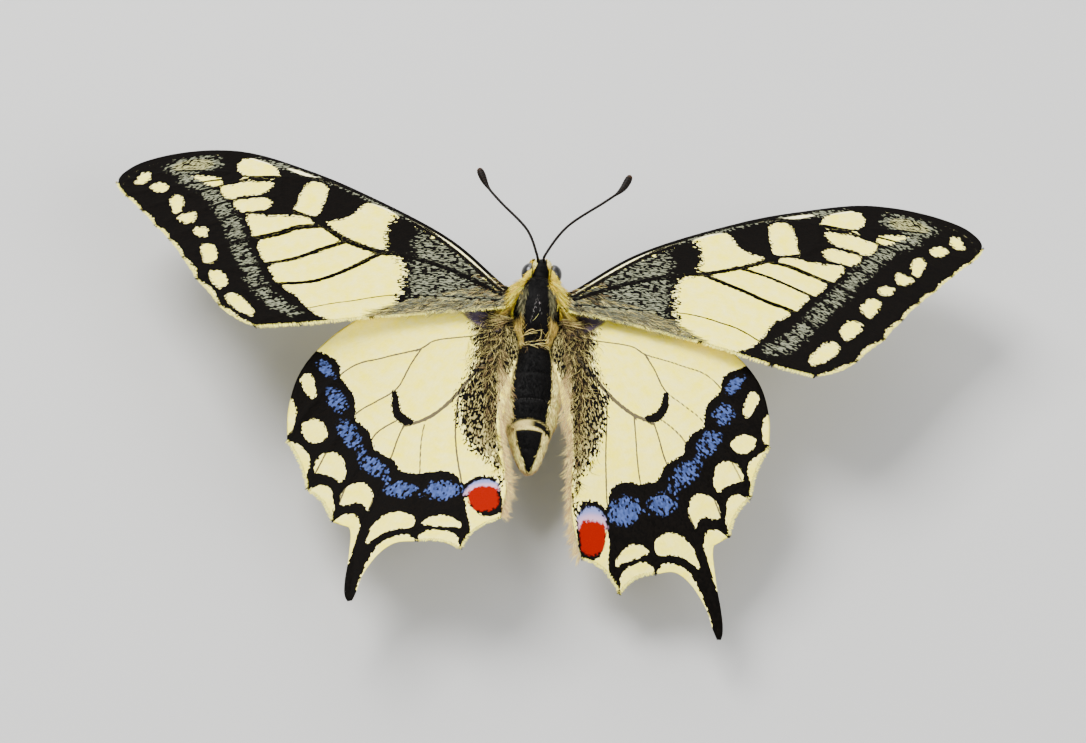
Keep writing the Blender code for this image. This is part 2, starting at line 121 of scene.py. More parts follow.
# --- Wing patterns, in the plan: pale patches between the veins, as their corners' U and V by turns ---
FORE_PATCHES = {
    "anal_cell": (
        10.35, 3.5, 11.4, 4.4, 12.5, 4.6, 22.2, -0.3, 21.3, -1.2, 20.2, -2.2, 19.7, -3.7, 18.6, -4.9, 17, -5.7,
        11.3, -4, 11.2, -2.2, 10.5, -0.8, 10.3, 1.2, 10.2, 2.6,
    ),
    "cubital_cell": (12.6, 4.75, 14, 5.6, 15.9, 6.1, 23.4, 2.5, 22.8, 1.2, 22.2, -0.5, 19.2, 0.5, 16.5, 2.2),
    "median_cell": (15.7, 6, 17.5, 7.15, 18.9, 7.55, 20.6, 7.3, 24, 5.6, 24.5, 4.8, 24.1, 3.6, 23.5, 2.5, 19.8, 4.3),
    "outer_median_cell": (
        19, 7.9, 20, 8.6, 21.6, 8.5, 23.9, 8.15, 25, 8.35, 25.75, 8.2, 25.7, 7.4, 25, 5.4, 24.3, 5.5, 22.2, 6.4,
        20.6, 7.2,
    ),
    "first_radial_cell": (
        23.2, 10.35, 24.3, 10.65, 26.1, 10.25, 27.3, 9.9, 26.9, 8.9, 26.3, 8.45, 24.6, 8.8, 23.6, 9.5,
    ),
    "second_radial_cell": (
        23, 12.9, 24.4, 13.05, 26.1, 12.8, 27.4, 12.1, 28.6, 12, 28.4, 11.1, 27.7, 10.2, 26.2, 10.75, 24.4, 11.2,
        23.5, 12.05,
    ),
    "third_radial_cell": (28.5, 13.25, 30.2, 13.35, 31.5, 13.35, 30.2, 12.4, 29.3, 11.9, 28.4, 12.1),
    "fork_cell": (24.9, 13.55, 26.3, 13.65, 26.5, 13, 25.8, 13.05),
    "costal_cell": (
        22.4, 14.3, 23, 15.5, 25, 16.35, 26.25, 16.3, 26.8, 15.4, 26.6, 14.15, 25.8, 13.7, 24, 13.55, 22.7, 13.65,
    ),
    "outer_cell_bar": (
        17.55, 12.9, 18.2, 13.65, 19.5, 13.55, 20.15, 12.5, 20.7, 11, 21.3, 8.8, 20, 8.9, 18.7, 8.85, 18.3, 10.2,
        17.9, 11.6,
    ),
    "inner_cell_bar": (
        10.6, 9.9, 11.8, 10.8, 13.6, 11.4, 14.2, 10.85, 14.8, 10, 15.4, 9.05, 16.7, 8.6, 17.95, 8.15, 17.4, 7.6,
        15.6, 6.3, 13.6, 5.4, 11.8, 5, 12.1, 6.4, 11.9, 7.4, 11.4, 8.85, 10.9, 9.6,
    ),
    "spot_8": (35.4, 13.8, 36.2, 13.9, 36.8, 12.95, 37.25, 11.9, 36.3, 12, 35.35, 12.7),
    "spot_7": (33.5, 11.5, 34.1, 12.3, 35.1, 12.3, 35.6, 11.5, 35, 10.8, 34, 10.7),
    "spot_6": (32, 9.8, 32.5, 10.6, 33.2, 10.5, 33.6, 9.6, 33.4, 8.6, 33, 7.8, 32.5, 8.1, 32, 8.9),
    "spot_5": (30.9, 8.1, 31.7, 8.15, 32.8, 7.2, 32.3, 6.6, 31.6, 6.3, 30.9, 6.9, 30.7, 7.5),
    "spot_4": (29.5, 6.15, 31.1, 5.95, 31.05, 5.2, 30.4, 4.6, 29.5, 4.9),
    "spot_3": (28.6, 3.8, 29.4, 4.1, 30.25, 3.8, 30.1, 2.5, 29.55, 1.1, 28.8, 1.4, 28.15, 2.3),
    "spot_2": (27.5, 0.2, 28.3, 0.45, 29.2, 0.2, 28.95, -1.05, 28.35, -1.9, 27.95, -2.45, 27.2, -1.8, 26.9, -0.9),
    "spot_1": (25.6, -3.1, 26.7, -2.6, 27.55, -3, 27.2, -4.15, 26.2, -5.2, 25.05, -6, 24.45, -5.5, 24.8, -4.4),
}
HIND_GROUND = (
    0, 4, 14, 4, 20.6, -3.6, 19.7, -4.7, 18.7, -5.05, 17.6, -5.6, 16.95, -6.5, 16.95, -7.6, 16.4, -8.3, 15.5, -9.4,
    15.25, -10.6, 15.3, -12, 14.7, -12.4, 13.85, -13.1, 13.45, -14.3, 13.35, -15.1, 12.6, -15.6, 11.65, -16.2,
    11.3, -16.4, 11.1, -17.2, 10.8, -17.75, 9.9, -18, 9.05, -18.2, 8.2, -17.95, 7, -17.8, 6.1, -18.3, 5.6, -19.2,
    5.4, -20.3, 5, -19.8, 4.5, -19.3, 3.4, -18.95, 2.3, -19.5, 1.8, -20.4, 0.5, -20.6,
)
HIND_BAR = (
    11.9, -8.4, 11.4, -8.5, 11.1, -9.8, 10.75, -10.8, 9.6, -11.4, 9.5, -11.9, 10.4, -12.25, 11.5, -11.6, 11.95, -9.95,
)
# Pale marks of the dark border: lunules from the leading edge back, then the crescents along the margin
HIND_LUNULES = (
    (19.9, -7.3, 20.5, -7.55, 20.7, -8.2, 20.15, -9.35, 19.5, -10.3, 19.1, -10.15, 19.1, -9.15, 19.4, -8.05),
    (20.3, -13.2, 20.1, -12.6, 19.25, -12.15, 18.3, -12.5, 17.8, -13.4, 17.95, -14.2, 18.6, -14.5, 19.5, -14.4),
    (
        18.9, -17.45, 18.8, -16.45, 18.15, -15.55, 17.1, -15.4, 16.2, -16.2, 15.9, -17.5, 16.2, -18.9, 16.7, -18.6,
        17.1, -18, 18.1, -17.7,
    ),
    (
        16.55, -21.25, 16.3, -19.95, 15.55, -19.1, 14.4, -18.8, 13.6, -19.65, 13.4, -20.9, 13.9, -22.55,
        14.25, -21.55, 14.9, -21.1, 15.85, -21.45,
    ),
    (
        14.15, -26.25, 13.85, -24.65, 13, -23.4, 12, -22.65, 10.75, -22.75, 9.9, -23.5, 9.8, -24.4, 10.3, -24.8,
        11.85, -24.75, 13.05, -25.35,
    ),
    (9.4, -24.5, 8.65, -23.75, 7.7, -23.6, 6.65, -24.05, 5.9, -24.9, 5.8, -25.65, 6.75, -25.25, 8.15, -24.9),
    (21.3, -10, 21.05, -10.6, 20.8, -11.55, 20.9, -12.7, 21.25, -13.5, 22.4, -13.2, 22.4, -9.8),
    (21.2, -14.1, 20.4, -14.6, 19.7, -15.2, 19.3, -16.1, 19.35, -17, 19.65, -18.1, 20.6, -18, 22, -15),
    (
        19.3, -19.2, 18.45, -18.8, 17.65, -19, 17.1, -19.75, 16.95, -20.8, 17, -21.8, 17.2, -22.6, 18.2, -22.8,
        19.8, -20,
    ),
    (
        17, -23, 16.05, -22.4, 15.2, -22.5, 14.7, -23.1, 14.6, -24.1, 14.85, -25.1, 15.2, -26.5, 15.7, -28.3,
        16.6, -28, 16.6, -24.6, 17.6, -23.6,
    ),
    (
        9.95, -26.1, 10.6, -25.55, 11.75, -25.55, 12.8, -26.15, 13.7, -27.4, 14.3, -28.8, 14.75, -30.4, 15, -31.7,
        14, -31.7, 12.8, -29.5, 11.8, -27.6, 10.9, -27.1, 9.9, -27.1,
    ),
    (9.7, -26.1, 9.1, -25.5, 8.15, -25.35, 6.95, -25.75, 6.3, -26.5, 6.15, -27.4, 6.25, -28.3, 7.2, -28.6, 9.6, -27.4),
)
HIND_COLLAR = (
    5.1, -21.5, 5.4, -22.6, 5.15, -24.2, 4.95, -27.2, 4, -26.8, 2, -26, 1.3, -23.8, 2.1, -24.2, 3.3, -24.85,
    4.3, -24.4, 4.85, -23.3, 4.95, -22,
)
HIND_RED = (
    2.15, -21.4, 2.8, -20.75, 3.65, -20.6, 4.7, -20.9, 5.15, -21.8, 5.05, -22.7, 4.65, -23.75, 3.7, -24.15,
    2.75, -23.9, 2.2, -22.9,
)
HIND_LILAC = (
    1.9, -21.6, 2.1, -20.6, 2.8, -19.9, 3.7, -19.6, 4.6, -20, 5.2, -20.9, 5.35, -21.9, 4.6, -21.5, 3.6, -21.1,
    2.7, -21.4,
)
HIND_PATCH = (1.2, 1.6, 5.6, 1.2, 4.9, 0.3, 3.4, -0.6, 1.5, -1.1)
# Blue dusting: centre, half length, half width, turn in degrees, strength
HIND_BLUES = (
    (18.3, -6.8, 1.35, 0.6, 50, 0.85),
    (17.2, -10.2, 1.35, 1.0, 55, 0.85),
    (15.75, -13.6, 1.7, 0.95, 55, 0.8),
    (13.4, -17.0, 1.85, 0.95, 42, 0.8),
    (10.9, -20.0, 1.5, 1.05, 10, 0.85),
    (7.2, -20.5, 1.75, 1.35, 8, 0.95),
    (14.6, -15.4, 1.1, 0.55, 50, 0.45),
    (12.1, -18.6, 1.2, 0.6, 50, 0.45),
    (9.2, -20.6, 0.9, 0.6, 0, 0.45),
)

# Veins: (half width, points)
FORE_VEINS = (
    (0.20, ((0.5, 0.0), (5.0, 2.6), (10.0, 4.4), (12.45, 4.75), (15.8, 6.1), (18.3, 7.7))),
    (0.16, ((12.3, 4.7), (16.5, 2.2), (19.2, 0.6), (22.2, -0.4), (25.5, -2.2), (28.7, -4.3))),
    (0.13, ((15.6, 6.05), (18.2, 5.15), (19.8, 4.4), (21.5, 3.5), (23.5, 2.55), (27.0, 0.9), (30.9, -1.0))),
    (0.18, ((18.2, 7.65), (20.6, 7.2), (22.2, 6.45), (24.7, 5.4), (28.5, 3.7), (32.3, 1.9))),
    (0.10, ((18.3, 7.7), (19.0, 8.3), (21.0, 8.75), (25.9, 8.35), (29.5, 6.6), (33.6, 4.3))),
    (0.10, ((22.0, 9.8), (22.8, 10.9), (26.5, 10.3), (30.5, 8.4), (34.9, 6.1))),
    (0.10, ((25.2, 13.5), (28.5, 12.0), (32.0, 10.4), (36.3, 8.4))),
    (0.08, ((27.5, 13.2), (32.0, 12.0), (37.7, 10.6))),
    (0.08, ((27.8, 14.1), (33.0, 13.9), (38.6, 12.3))),
    (0.12, ((19.0, 8.3), (22.0, 9.8), (22.6, 12.3), (22.2, 13.9))),
    (0.16, ((0.5, 0.6), (5.0, 5.6), (10.0, 10.1), (14.0, 12.4), (18.0, 14.0), (22.0, 13.9), (25.5, 13.5))),
    (0.045, ((0.5, -0.8), (6.0, -1.0), (10.8, -1.2), (13.0, -1.6), (15.3, -2.35), (18.0, -3.3), (25.0, -6.8))),
)
HIND_VEINS = (
    (0.05, ((2.0, -1.0), (4.3, -1.9), (8.0, -2.85), (9.55, -3.95), (13.0, -5.2), (16.5, -6.95), (21.5, -13.8))),
    (0.05, ((9.4, -3.9), (10.4, -5.8), (11.5, -8.3), (13.4, -9.9), (15.2, -11.4), (17.3, -14.5), (19.4, -19.2))),
    (0.055, ((11.2, -11.7), (12.6, -12.8), (13.6, -14.1), (15.6, -18.5), (17.1, -23.1))),
    (0.05, ((10.5, -12.1), (11.1, -14.0), (11.7, -16.2), (13.6, -21.5), (15.0, -26.0), (15.4, -32.5))),
    (0.045, ((8.5, -11.2), (8.8, -14.0), (9.05, -18.0), (9.6, -22.0), (9.8, -26.5))),
    (0.05, ((5.6, -8.3), (5.75, -12.0), (5.6, -17.0), (5.5, -20.0), (5.9, -28.2))),
    (0.12, ((2.0, -3.0), (4.6, -6.8), (5.6, -8.3), (7.0, -10.0), (8.5, -11.3), (10.4, -12.2))),
)
# Dusted bands: the middle line of the pale scales inside the dark margin
FORE_BAND = (
    (31.8, 12.8), (29.3, 10.6), (27.7, 7.9), (26.6, 5.2), (25.8, 3.0), (24.9, 1.0), (24.1, -1.0), (22.9, -3.0),
    (20.9, -4.9),
)
# The outer edge of the dusted hair field of the hindwing
HIND_SOOT_EDGE = (
    (1.9, -19.5), (2.4, -17.4), (3.7, -15.9), (4.6, -14.4), (5.3, -12.5), (5.7, -9.8), (5.6, -8.5), (4.8, -6.5),
    (4.2, -4.0), (4.3, -1.8), (4.7, 0.4), (5.2, 3.0),
)

SPOT_TRIM = 0.1
TIP_DUST_AT = (31.2, 14.9)
# The pale strip beside the abdomen: (V, how far out it reaches); the inner ends of the eyespot and of its cap
HIND_STRIP = ((-12.0, 2.15), (-8.5, 1.8), (-5.0, 0.5))
RED_FROM = 2.42
LILAC_FROM = 2.3
# The near-white line inside the leading edge: how far in it lies, and its half width along the span
COSTAL_LINE_AT = 0.60
COSTAL_LINE = np.array((
    (0.0, 0.0), (0.8, 0.13), (7.5, 0.11), (10.5, -0.04), (15.5, -0.04), (17.0, 0.06), (20.5, 0.25), (22.5, 0.0),
))

# How one side's pattern sits off the mean of both: centre, reach, shift; the other side mirrors the shift
PATTERN_SHIFTS = {
    "fore": (((26.0, -2.0), (9.0, 6.5), (0.65, 0.0)), ((20.0, 1.5), (7.5, 4.5), (0.0, -1.6))),
    "hind": (
        ((8.5, -15.0), (6.0, 6.0), (0.45, 0.0)),
        ((8.0, -12.5), (5.0, 6.0), (0.0, -0.75)),
        ((19.3, -10.0), (3.5, 4.5), (0.0, 0.58)),
        ((3.6, -22.5), (2.6, 3.0), (0.0, 0.55)),
    ),
}


# ---------------------------------------------------------------- curves and distances

def smooth_through(points, step=EDGE_STEP):
    """A smooth curve through the points, sampled about every step: cubic Hermite with Catmull-Rom slopes."""
    points = np.array(points, float)
    slopes = np.gradient(points, axis=0)
    gaps = np.linalg.norm(np.diff(points, axis=0), axis=1)
    pieces = []
    for i, gap in enumerate(gaps):
        t = np.linspace(0.0, 1.0, max(2, round(gap / step) + 1))[:-1, None]
        pieces.append(
            (2 * t**3 - 3 * t**2 + 1) * points[i]
            + (t**3 - 2 * t**2 + t) * slopes[i]
            + (3 * t**2 - 2 * t**3) * points[i + 1]
            + (t**3 - t**2) * slopes[i + 1]
        )
    return np.concatenate(pieces + [points[-1:]])


def scalloped(ends, depths, step=EDGE_STEP):
    """The margin from vein end to vein end, drawn in between them by each depth, or out by a negative one."""
    pieces = []
    for start, end, depth in zip(np.array(ends[:-1], float), np.array(ends[1:], float), depths):
        run = end - start
        inward = np.array((run[1], -run[0])) / np.linalg.norm(run)
        t = np.linspace(0.0, 1.0, max(3, round(np.linalg.norm(run) / step) + 1))[:-1, None]
        power = SCALLOP_POWER if depth > 0 else BULGE_POWER
        pieces.append(start + t * run + depth * np.sin(math.pi * t) ** power * inward)
    return np.concatenate(pieces + [np.array(ends[-1:], float)])


def joined(curves):
    """Open curves that follow one another, as one."""
    return np.concatenate([curve[:-1] for curve in curves[:-1]] + [curves[-1]])


def resampled(curve, count):
    """The curve as count points at even steps along it."""
    reach = np.concatenate([[0.0], np.cumsum(np.linalg.norm(np.diff(curve, axis=0), axis=1))])
    at = np.linspace(0.0, reach[-1], count)
    return np.stack([np.interp(at, reach, curve[:, i]) for i in range(curve.shape[1])], axis=1)


def rounded(corners, rounds=2, cut=0.2):
    """A closed shape with its corners cut, round after round; corners are pairs, or U and V by turns."""
    points = np.array(corners, float).reshape(-1, 2)
    for _ in range(rounds):
        ahead = np.roll(points, -1, axis=0)
        points = np.stack([points * (1 - cut) + ahead * cut, points * cut + ahead * (1 - cut)], axis=1)
        points = points.reshape(-1, 2)
    return points


def smoothstep(low, high, values):
    """0 below low, 1 above high, and 3t*t - 2t*t*t between them."""
    t = np.clip((values - low) / (high - low), 0.0, 1.0)
    return t * t * (3 - 2 * t)


def unit(vectors):
    """Vectors made one long."""
    return vectors / np.maximum(np.linalg.norm(vectors, axis=-1, keepdims=True), 1e-9)


def chain_distance(points, chain, closed=False):
    """Distance from each point to a chain of points, signed by the side that the point is on (left positive)."""
    ends = np.roll(chain, -1, axis=0) if closed else chain[1:]
    starts = chain if closed else chain[:-1]
    best = np.full(len(points), np.inf)
    side = np.ones(len(points))
    for start, end in zip(starts, ends):
        run = end - start
        gap = points - start
        share = np.clip((gap @ run) / (run @ run), 0.0, 1.0)
        away = np.linalg.norm(gap - share[:, None] * run, axis=1)
        nearer = away < best
        best = np.where(nearer, away, best)
        side = np.where(nearer, np.sign(run[0] * gap[:, 1] - run[1] * gap[:, 0] + 1e-12), side)
    return best * side


def depth_inside(points, corners):
    """Distance in from the edge of a closed shape with cut corners: positive inside, negative outside."""
    outline = rounded(corners)
    start = outline[None]
    run = np.roll(outline, -1, axis=0)[None] - start
    gap = points[:, None] - start
    share = np.clip((gap * run).sum(-1) / (run * run).sum(-1), 0.0, 1.0)
    away = np.linalg.norm(gap - share[..., None] * run, axis=-1).min(axis=1)
    crosses = (start[..., 1] > points[:, None, 1]) != ((start + run)[..., 1] > points[:, None, 1])
    height = np.where(run[..., 1] == 0, 1.0, run[..., 1])
    left = gap[..., 0] < run[..., 0] * gap[..., 1] / height
    within = (crosses & left).sum(axis=1) % 2 == 1
    return np.where(within, away, -away)


# ---------------------------------------------------------------- meshes

def grid_quads(rows, columns, wrap=False):
    """Quads of a grid of rows x columns points; wrap joins its last column to its first."""
    row = np.arange(rows - 1)[:, None]
    column = np.arange(columns if wrap else columns - 1)[None]
    ahead = (column + 1) % columns
    corners = (row * columns + column, row * columns + ahead, (row + 1) * columns + ahead, (row + 1) * columns + column)
    return np.stack(np.broadcast_arrays(*corners), axis=-1).reshape(-1, 4)


def make_piece(name, points, faces, materials, values=None, colours=None, uvs=None, slots=None, smooth=True):
    """One mesh piece: points in millimetres about the thorax, faces as arrays of triangles or quads.

    values: float attributes on points; colours: colour attributes on points; uvs: maps on face corners;
    slots: the material of each face.
    """
    mesh = bpy.data.meshes.new(name)
    placed = ((points + THORAX_AT) * MM).astype(np.float32)
    mesh.vertices.add(len(placed))
    mesh.vertices.foreach_set("co", placed.ravel())
    corners = np.concatenate([f.ravel() for f in faces]).astype(np.int32)
    sizes = np.concatenate([np.full(len(f), f.shape[1]) for f in faces])
    mesh.loops.add(len(corners))
    mesh.loops.foreach_set("vertex_index", corners)
    mesh.polygons.add(len(sizes))
    mesh.polygons.foreach_set("loop_start", np.concatenate([[0], np.cumsum(sizes)[:-1]]).astype(np.int32))
    mesh.polygons.foreach_set("use_smooth", np.full(len(sizes), smooth))
    if slots is not None:
        mesh.polygons.foreach_set("material_index", slots.astype(np.int32))
    mesh.update(calc_edges=True)
    for key, data in (values or {}).items():
        mesh.attributes.new(key, "FLOAT", "POINT").data.foreach_set("value", data.astype(np.float32))
    for key, data in (colours or {}).items():
        full = np.concatenate([data, np.ones((len(data), 1))], axis=1).astype(np.float32)
        mesh.attributes.new(key, "FLOAT_COLOR", "POINT").data.foreach_set("color", full.ravel())
    for key, data in (uvs or {}).items():
        mesh.uv_layers.new(name=key).data.foreach_set("uv", data.astype(np.float32).ravel())
    piece = bpy.data.objects.new(name, mesh)
    bpy.context.scene.collection.objects.link(piece)
    for material in materials:
        mesh.materials.append(material)
    if mesh.validate():
        raise RuntimeError(f"{name} has faces that its mesh can't hold")
    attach(piece, "root")
    return piece


# ---------------------------------------------------------------- wings

def wing_edges(kind):
    """The leading and the trailing edge of a wing plan, both from the root to the tip, in small steps."""
    if kind == "fore":
        termen = scalloped(FORE_VEIN_ENDS, FORE_SCALLOPS)
        leading = smooth_through(FORE_COSTA)
        trailing = joined([termen, smooth_through(FORE_INNER)])[::-1]
    else:
        leading = joined([
            smooth_through(HIND_COSTA),
            scalloped(HIND_VEIN_ENDS, HIND_SCALLOPS),
            smooth_through(TAIL_OUTER),
        ])
        trailing = joined([
            smooth_through(TAIL_INNER),
            scalloped(HIND_INNER_ENDS, HIND_INNER_SCALLOPS),
            smooth_through(HIND_INNER),
        ])[::-1]
        leading = leading + np.array((0, 1.0)) * (HIND_UNDERLAP * np.exp(-(((leading[:, :1] - 0.8) / 3.2) ** 2)))
        fold = HIND_FOLD * np.exp(-(((trailing[:, 1:] + 8.0) / 3.6) ** 2))
        fold = fold + HIND_ROOT_FOLD * np.exp(-(((trailing[:, 1:] + 3.2) / 2.8) ** 2))
        trailing = trailing - np.array((1.0, 0)) * fold
    roots = np.array(WING_ROOTS[kind])
    return [np.concatenate([root[None], edge[:-TIP_TRIM]]) for root, edge in zip(roots, (leading, trailing))]


def wing_grid(kind):
    """The wing plan as a ruled grid: row by row from root to tip, each row straight from edge to edge."""
    leading, trailing = (resampled(edge, WING_ROWS) for edge in wing_edges(kind))
    across = np.linspace(0.0, 1.0, WING_COLUMNS)[None, :, None]
    return (leading[:, None] * (1 - across) + trailing[:, None] * across).reshape(-1, 2)


def rotation(axis, degrees):
    """The 3 x 3 turn about one axis, as a numpy array."""
    return np.array(Matrix.Rotation(math.radians(degrees), 3, axis))


def wing_surface(plan, pose, sag=0.0):
    """Where plan points lie on the bent, posed mid surface of a wing."""
    u = plan[:, 0] * (1 + pose.stretch) + pose.shear * plan[:, 1]
    v = plan[:, 1] + pose.shear * plan[:, 0]
    rise = pose.arch * u**2 + pose.twist * u * v + pose.bow * v**2
    rise = rise + pose.tip * np.maximum(u - TIP_FROM, 0) ** 2
    rise = rise + pose.dip * np.maximum(v - DIP_FROM, 0) ** 2
    flat = np.stack([u, v, rise / 1000 - sag], axis=1)
    turn = rotation("Z", pose.sweep) @ rotation("Y", -pose.dihedral) @ rotation("X", pose.pitch)
    placed = flat @ turn.T + np.array(pose.root)
    return placed * np.array((pose.side, 1, 1))


def wing_axes(plan, pose):
    """Unit vectors out along the wing, forward along it, and up from it, at plan points."""
    here = wing_surface(plan, pose)
    out = wing_surface(plan + np.array((0.01, 0)), pose) - here
    ahead = wing_surface(plan + np.array((0, 0.01)), pose) - here
    up = np.cross(out, ahead) * pose.side
    return [v / np.linalg.norm(v, axis=1)[:, None] for v in (out, ahead, up)]


def pattern_place(plan, kind, side):
    """Plan points moved to where the mean pattern is read: Gaussian shifts that one side mirrors."""
    moved = plan.copy()
    for centre, reach, shift in PATTERN_SHIFTS[kind]:
        near = np.exp(-(((plan - np.array(centre)) / np.array(reach)) ** 2).sum(axis=1))
        moved = moved + side * near[:, None] * np.array(shift)
    return moved


def vein_values(place, veins):
    """Signed and plain distance to the nearest vein in its own half widths, and the plain one in millimetres."""
    away = np.array([chain_distance(place, smooth_through(points, PATTERN_STEP)) for _, points in veins])
    shares = away / np.array([half for half, _ in veins])[:, None]
    side = np.take_along_axis(shares, np.abs(shares).argmin(axis=0)[None], axis=0)[0]
    return side, np.abs(side), np.abs(away).min(axis=0)


def margin_value(plan, ends, widths, power):
    """Pale crescents along the margin: each as deep as its width between two vein ends, and nothing at the ends."""
    best = np.full(len(plan), -1.0)
    for start, end, width in zip(np.array(ends[:-1]), np.array(ends[1:]), widths):
        run = end - start
        length = np.linalg.norm(run)
        gap = plan - start
        share = gap @ run / length**2
        inward = gap @ np.array((run[1], -run[0])) / length
        profile = width * (1 - np.abs(2 * np.clip(share, 0, 1) - 1) ** power)
        value = np.where((share > 0) & (share < 1), profile - inward, -1.0)
        best = np.where(np.abs(inward) < 2.5, np.maximum(best, value), best)
    return best


def fore_pattern(place, plan):
    """The forewing's attributes: pale cells and spots, dusted base, band and tip, in millimetres or shares."""
    u, v = place[:, 0], place[:, 1]
    patches = [depth_inside(place, c) - SPOT_TRIM * name.startswith("spot") for name, c in FORE_PATCHES.items()]
    fringe = margin_value(plan, FORE_VEIN_ENDS, np.array(FORE_SCALLOPS) + np.array(FORE_FRINGES), 2.2)
    costa = np.abs(chain_distance(plan, smooth_through(FORE_COSTA, PATTERN_STEP)))
    off_line = np.abs(costa - COSTAL_LINE_AT - 0.2 * smoothstep(16.0, 20.0, u))
    line = np.interp(u, *COSTAL_LINE.T) - off_line
    light = np.max([*patches, fringe, line], axis=0)
    base = 1 - smoothstep(8.6, 10.3, u + 0.28 * np.maximum(v - 4.5, 0) - 0.35 * np.maximum(-1 - v, 0))
    base = base * smoothstep(0.9, 1.3, costa) * (0.46 + 0.26 * smoothstep(0.5, -2.2, v))
    from_band = chain_distance(place, smooth_through(FORE_BAND, PATTERN_STEP))
    band = 0.56 * (1 - smoothstep(0.15, 1.45, np.abs(from_band))) * smoothstep(-6.2, -4.6, v)
    x, y = u - TIP_DUST_AT[0], v - TIP_DUST_AT[1]
    tip = np.hypot(x * 0.97 - y * 0.26, (x * 0.26 + y * 0.97) * 2.35) / 3.3
    tip = 0.68 * (1 - smoothstep(0.55, 1.15, tip))
    streak = 0.6 * np.exp(-((off_line / (0.2 + 0.15 * smoothstep(15.5, 19.5, u))) ** 2))
    streak = streak * (1 - smoothstep(23.5, 25.5, u)) * smoothstep(7.5, 10.5, u)
    dust = np.max([base, band, tip, streak], axis=0)
    fray = 0.34 + 0.8 * (1 - smoothstep(10.9, 12.6, u))
    fray = np.where((line > -0.35) | (costa < 0.95), 0.03, fray)
    none = np.zeros(len(plan))
    return {
        "light": light, "dust": dust, "fray": fray, "blue": none, "red": none - 1, "lilac": none - 1,
        "bare": none, "veined": from_band < 1.2,
    }


def hind_pattern(place, _):
    """The hindwing's attributes: pale ground, dark border with lunules, blue dusting, and the eyespot."""
    u, v = place[:, 0], place[:, 1]
    ground = depth_inside(place, HIND_GROUND)
    ground = np.minimum(ground, -depth_inside(place, HIND_BAR))
    soot = chain_distance(place, smooth_through(HIND_SOOT_EDGE, PATTERN_STEP))
    strip = np.minimum(np.interp(v, *np.transpose(HIND_STRIP)) - u, -4.4 - v)
    ground = np.maximum(np.minimum(ground, -soot), strip)
    spots = np.max([depth_inside(place, c) for c in (*HIND_LUNULES, HIND_COLLAR)], axis=0)
    light = np.maximum(ground, spots)
    red = np.minimum(depth_inside(place, HIND_RED), u - RED_FROM)
    lilac = np.minimum(depth_inside(place, HIND_LILAC), u - LILAC_FROM)
    blue = np.zeros(len(place))
    for x, y, long, wide, turn, strength in HIND_BLUES:
        c, s = math.cos(math.radians(turn)), math.sin(math.radians(turn))
        away = np.hypot(((u - x) * c + (v - y) * s) / long, ((v - y) * c - (u - x) * s) / wide)
        blue = np.maximum(blue, strength * (1 - smoothstep(0.5, 1.3, away)))
    bare = smoothstep(-0.2, 0.1, depth_inside(place, HIND_PATCH))
    inner = smoothstep(-0.3, 0.8, soot) * (1 - bare)
    dust = inner * (0.30 + 0.30 * smoothstep(-9.0, -15.0, v))
    fray = 0.2 + 1.2 * np.exp(-((soot / 1.1) ** 2))
    return {
        "light": light, "dust": dust, "fray": fray, "blue": blue, "red": red, "lilac": lilac,
        "bare": bare, "veined": np.ones(len(place), bool),
    }


def row_map(kind, plan):
    """Places along and across the rows of scales: bent like the veins of a forewing, fanned on a hindwing."""
    u, v = plan[:, 0], plan[:, 1]
    if kind == "fore":
        return np.stack([u, v + 0.0075 * u**2], axis=1)
    return np.stack([np.hypot(u - 1, v - 3), 14 * np.arctan2(u - 1, 3 - v)], axis=1)


PATTERNS = {"fore": fore_pattern, "hind": hind_pattern}
VEINS = {"fore": FORE_VEINS, "hind": HIND_VEINS}


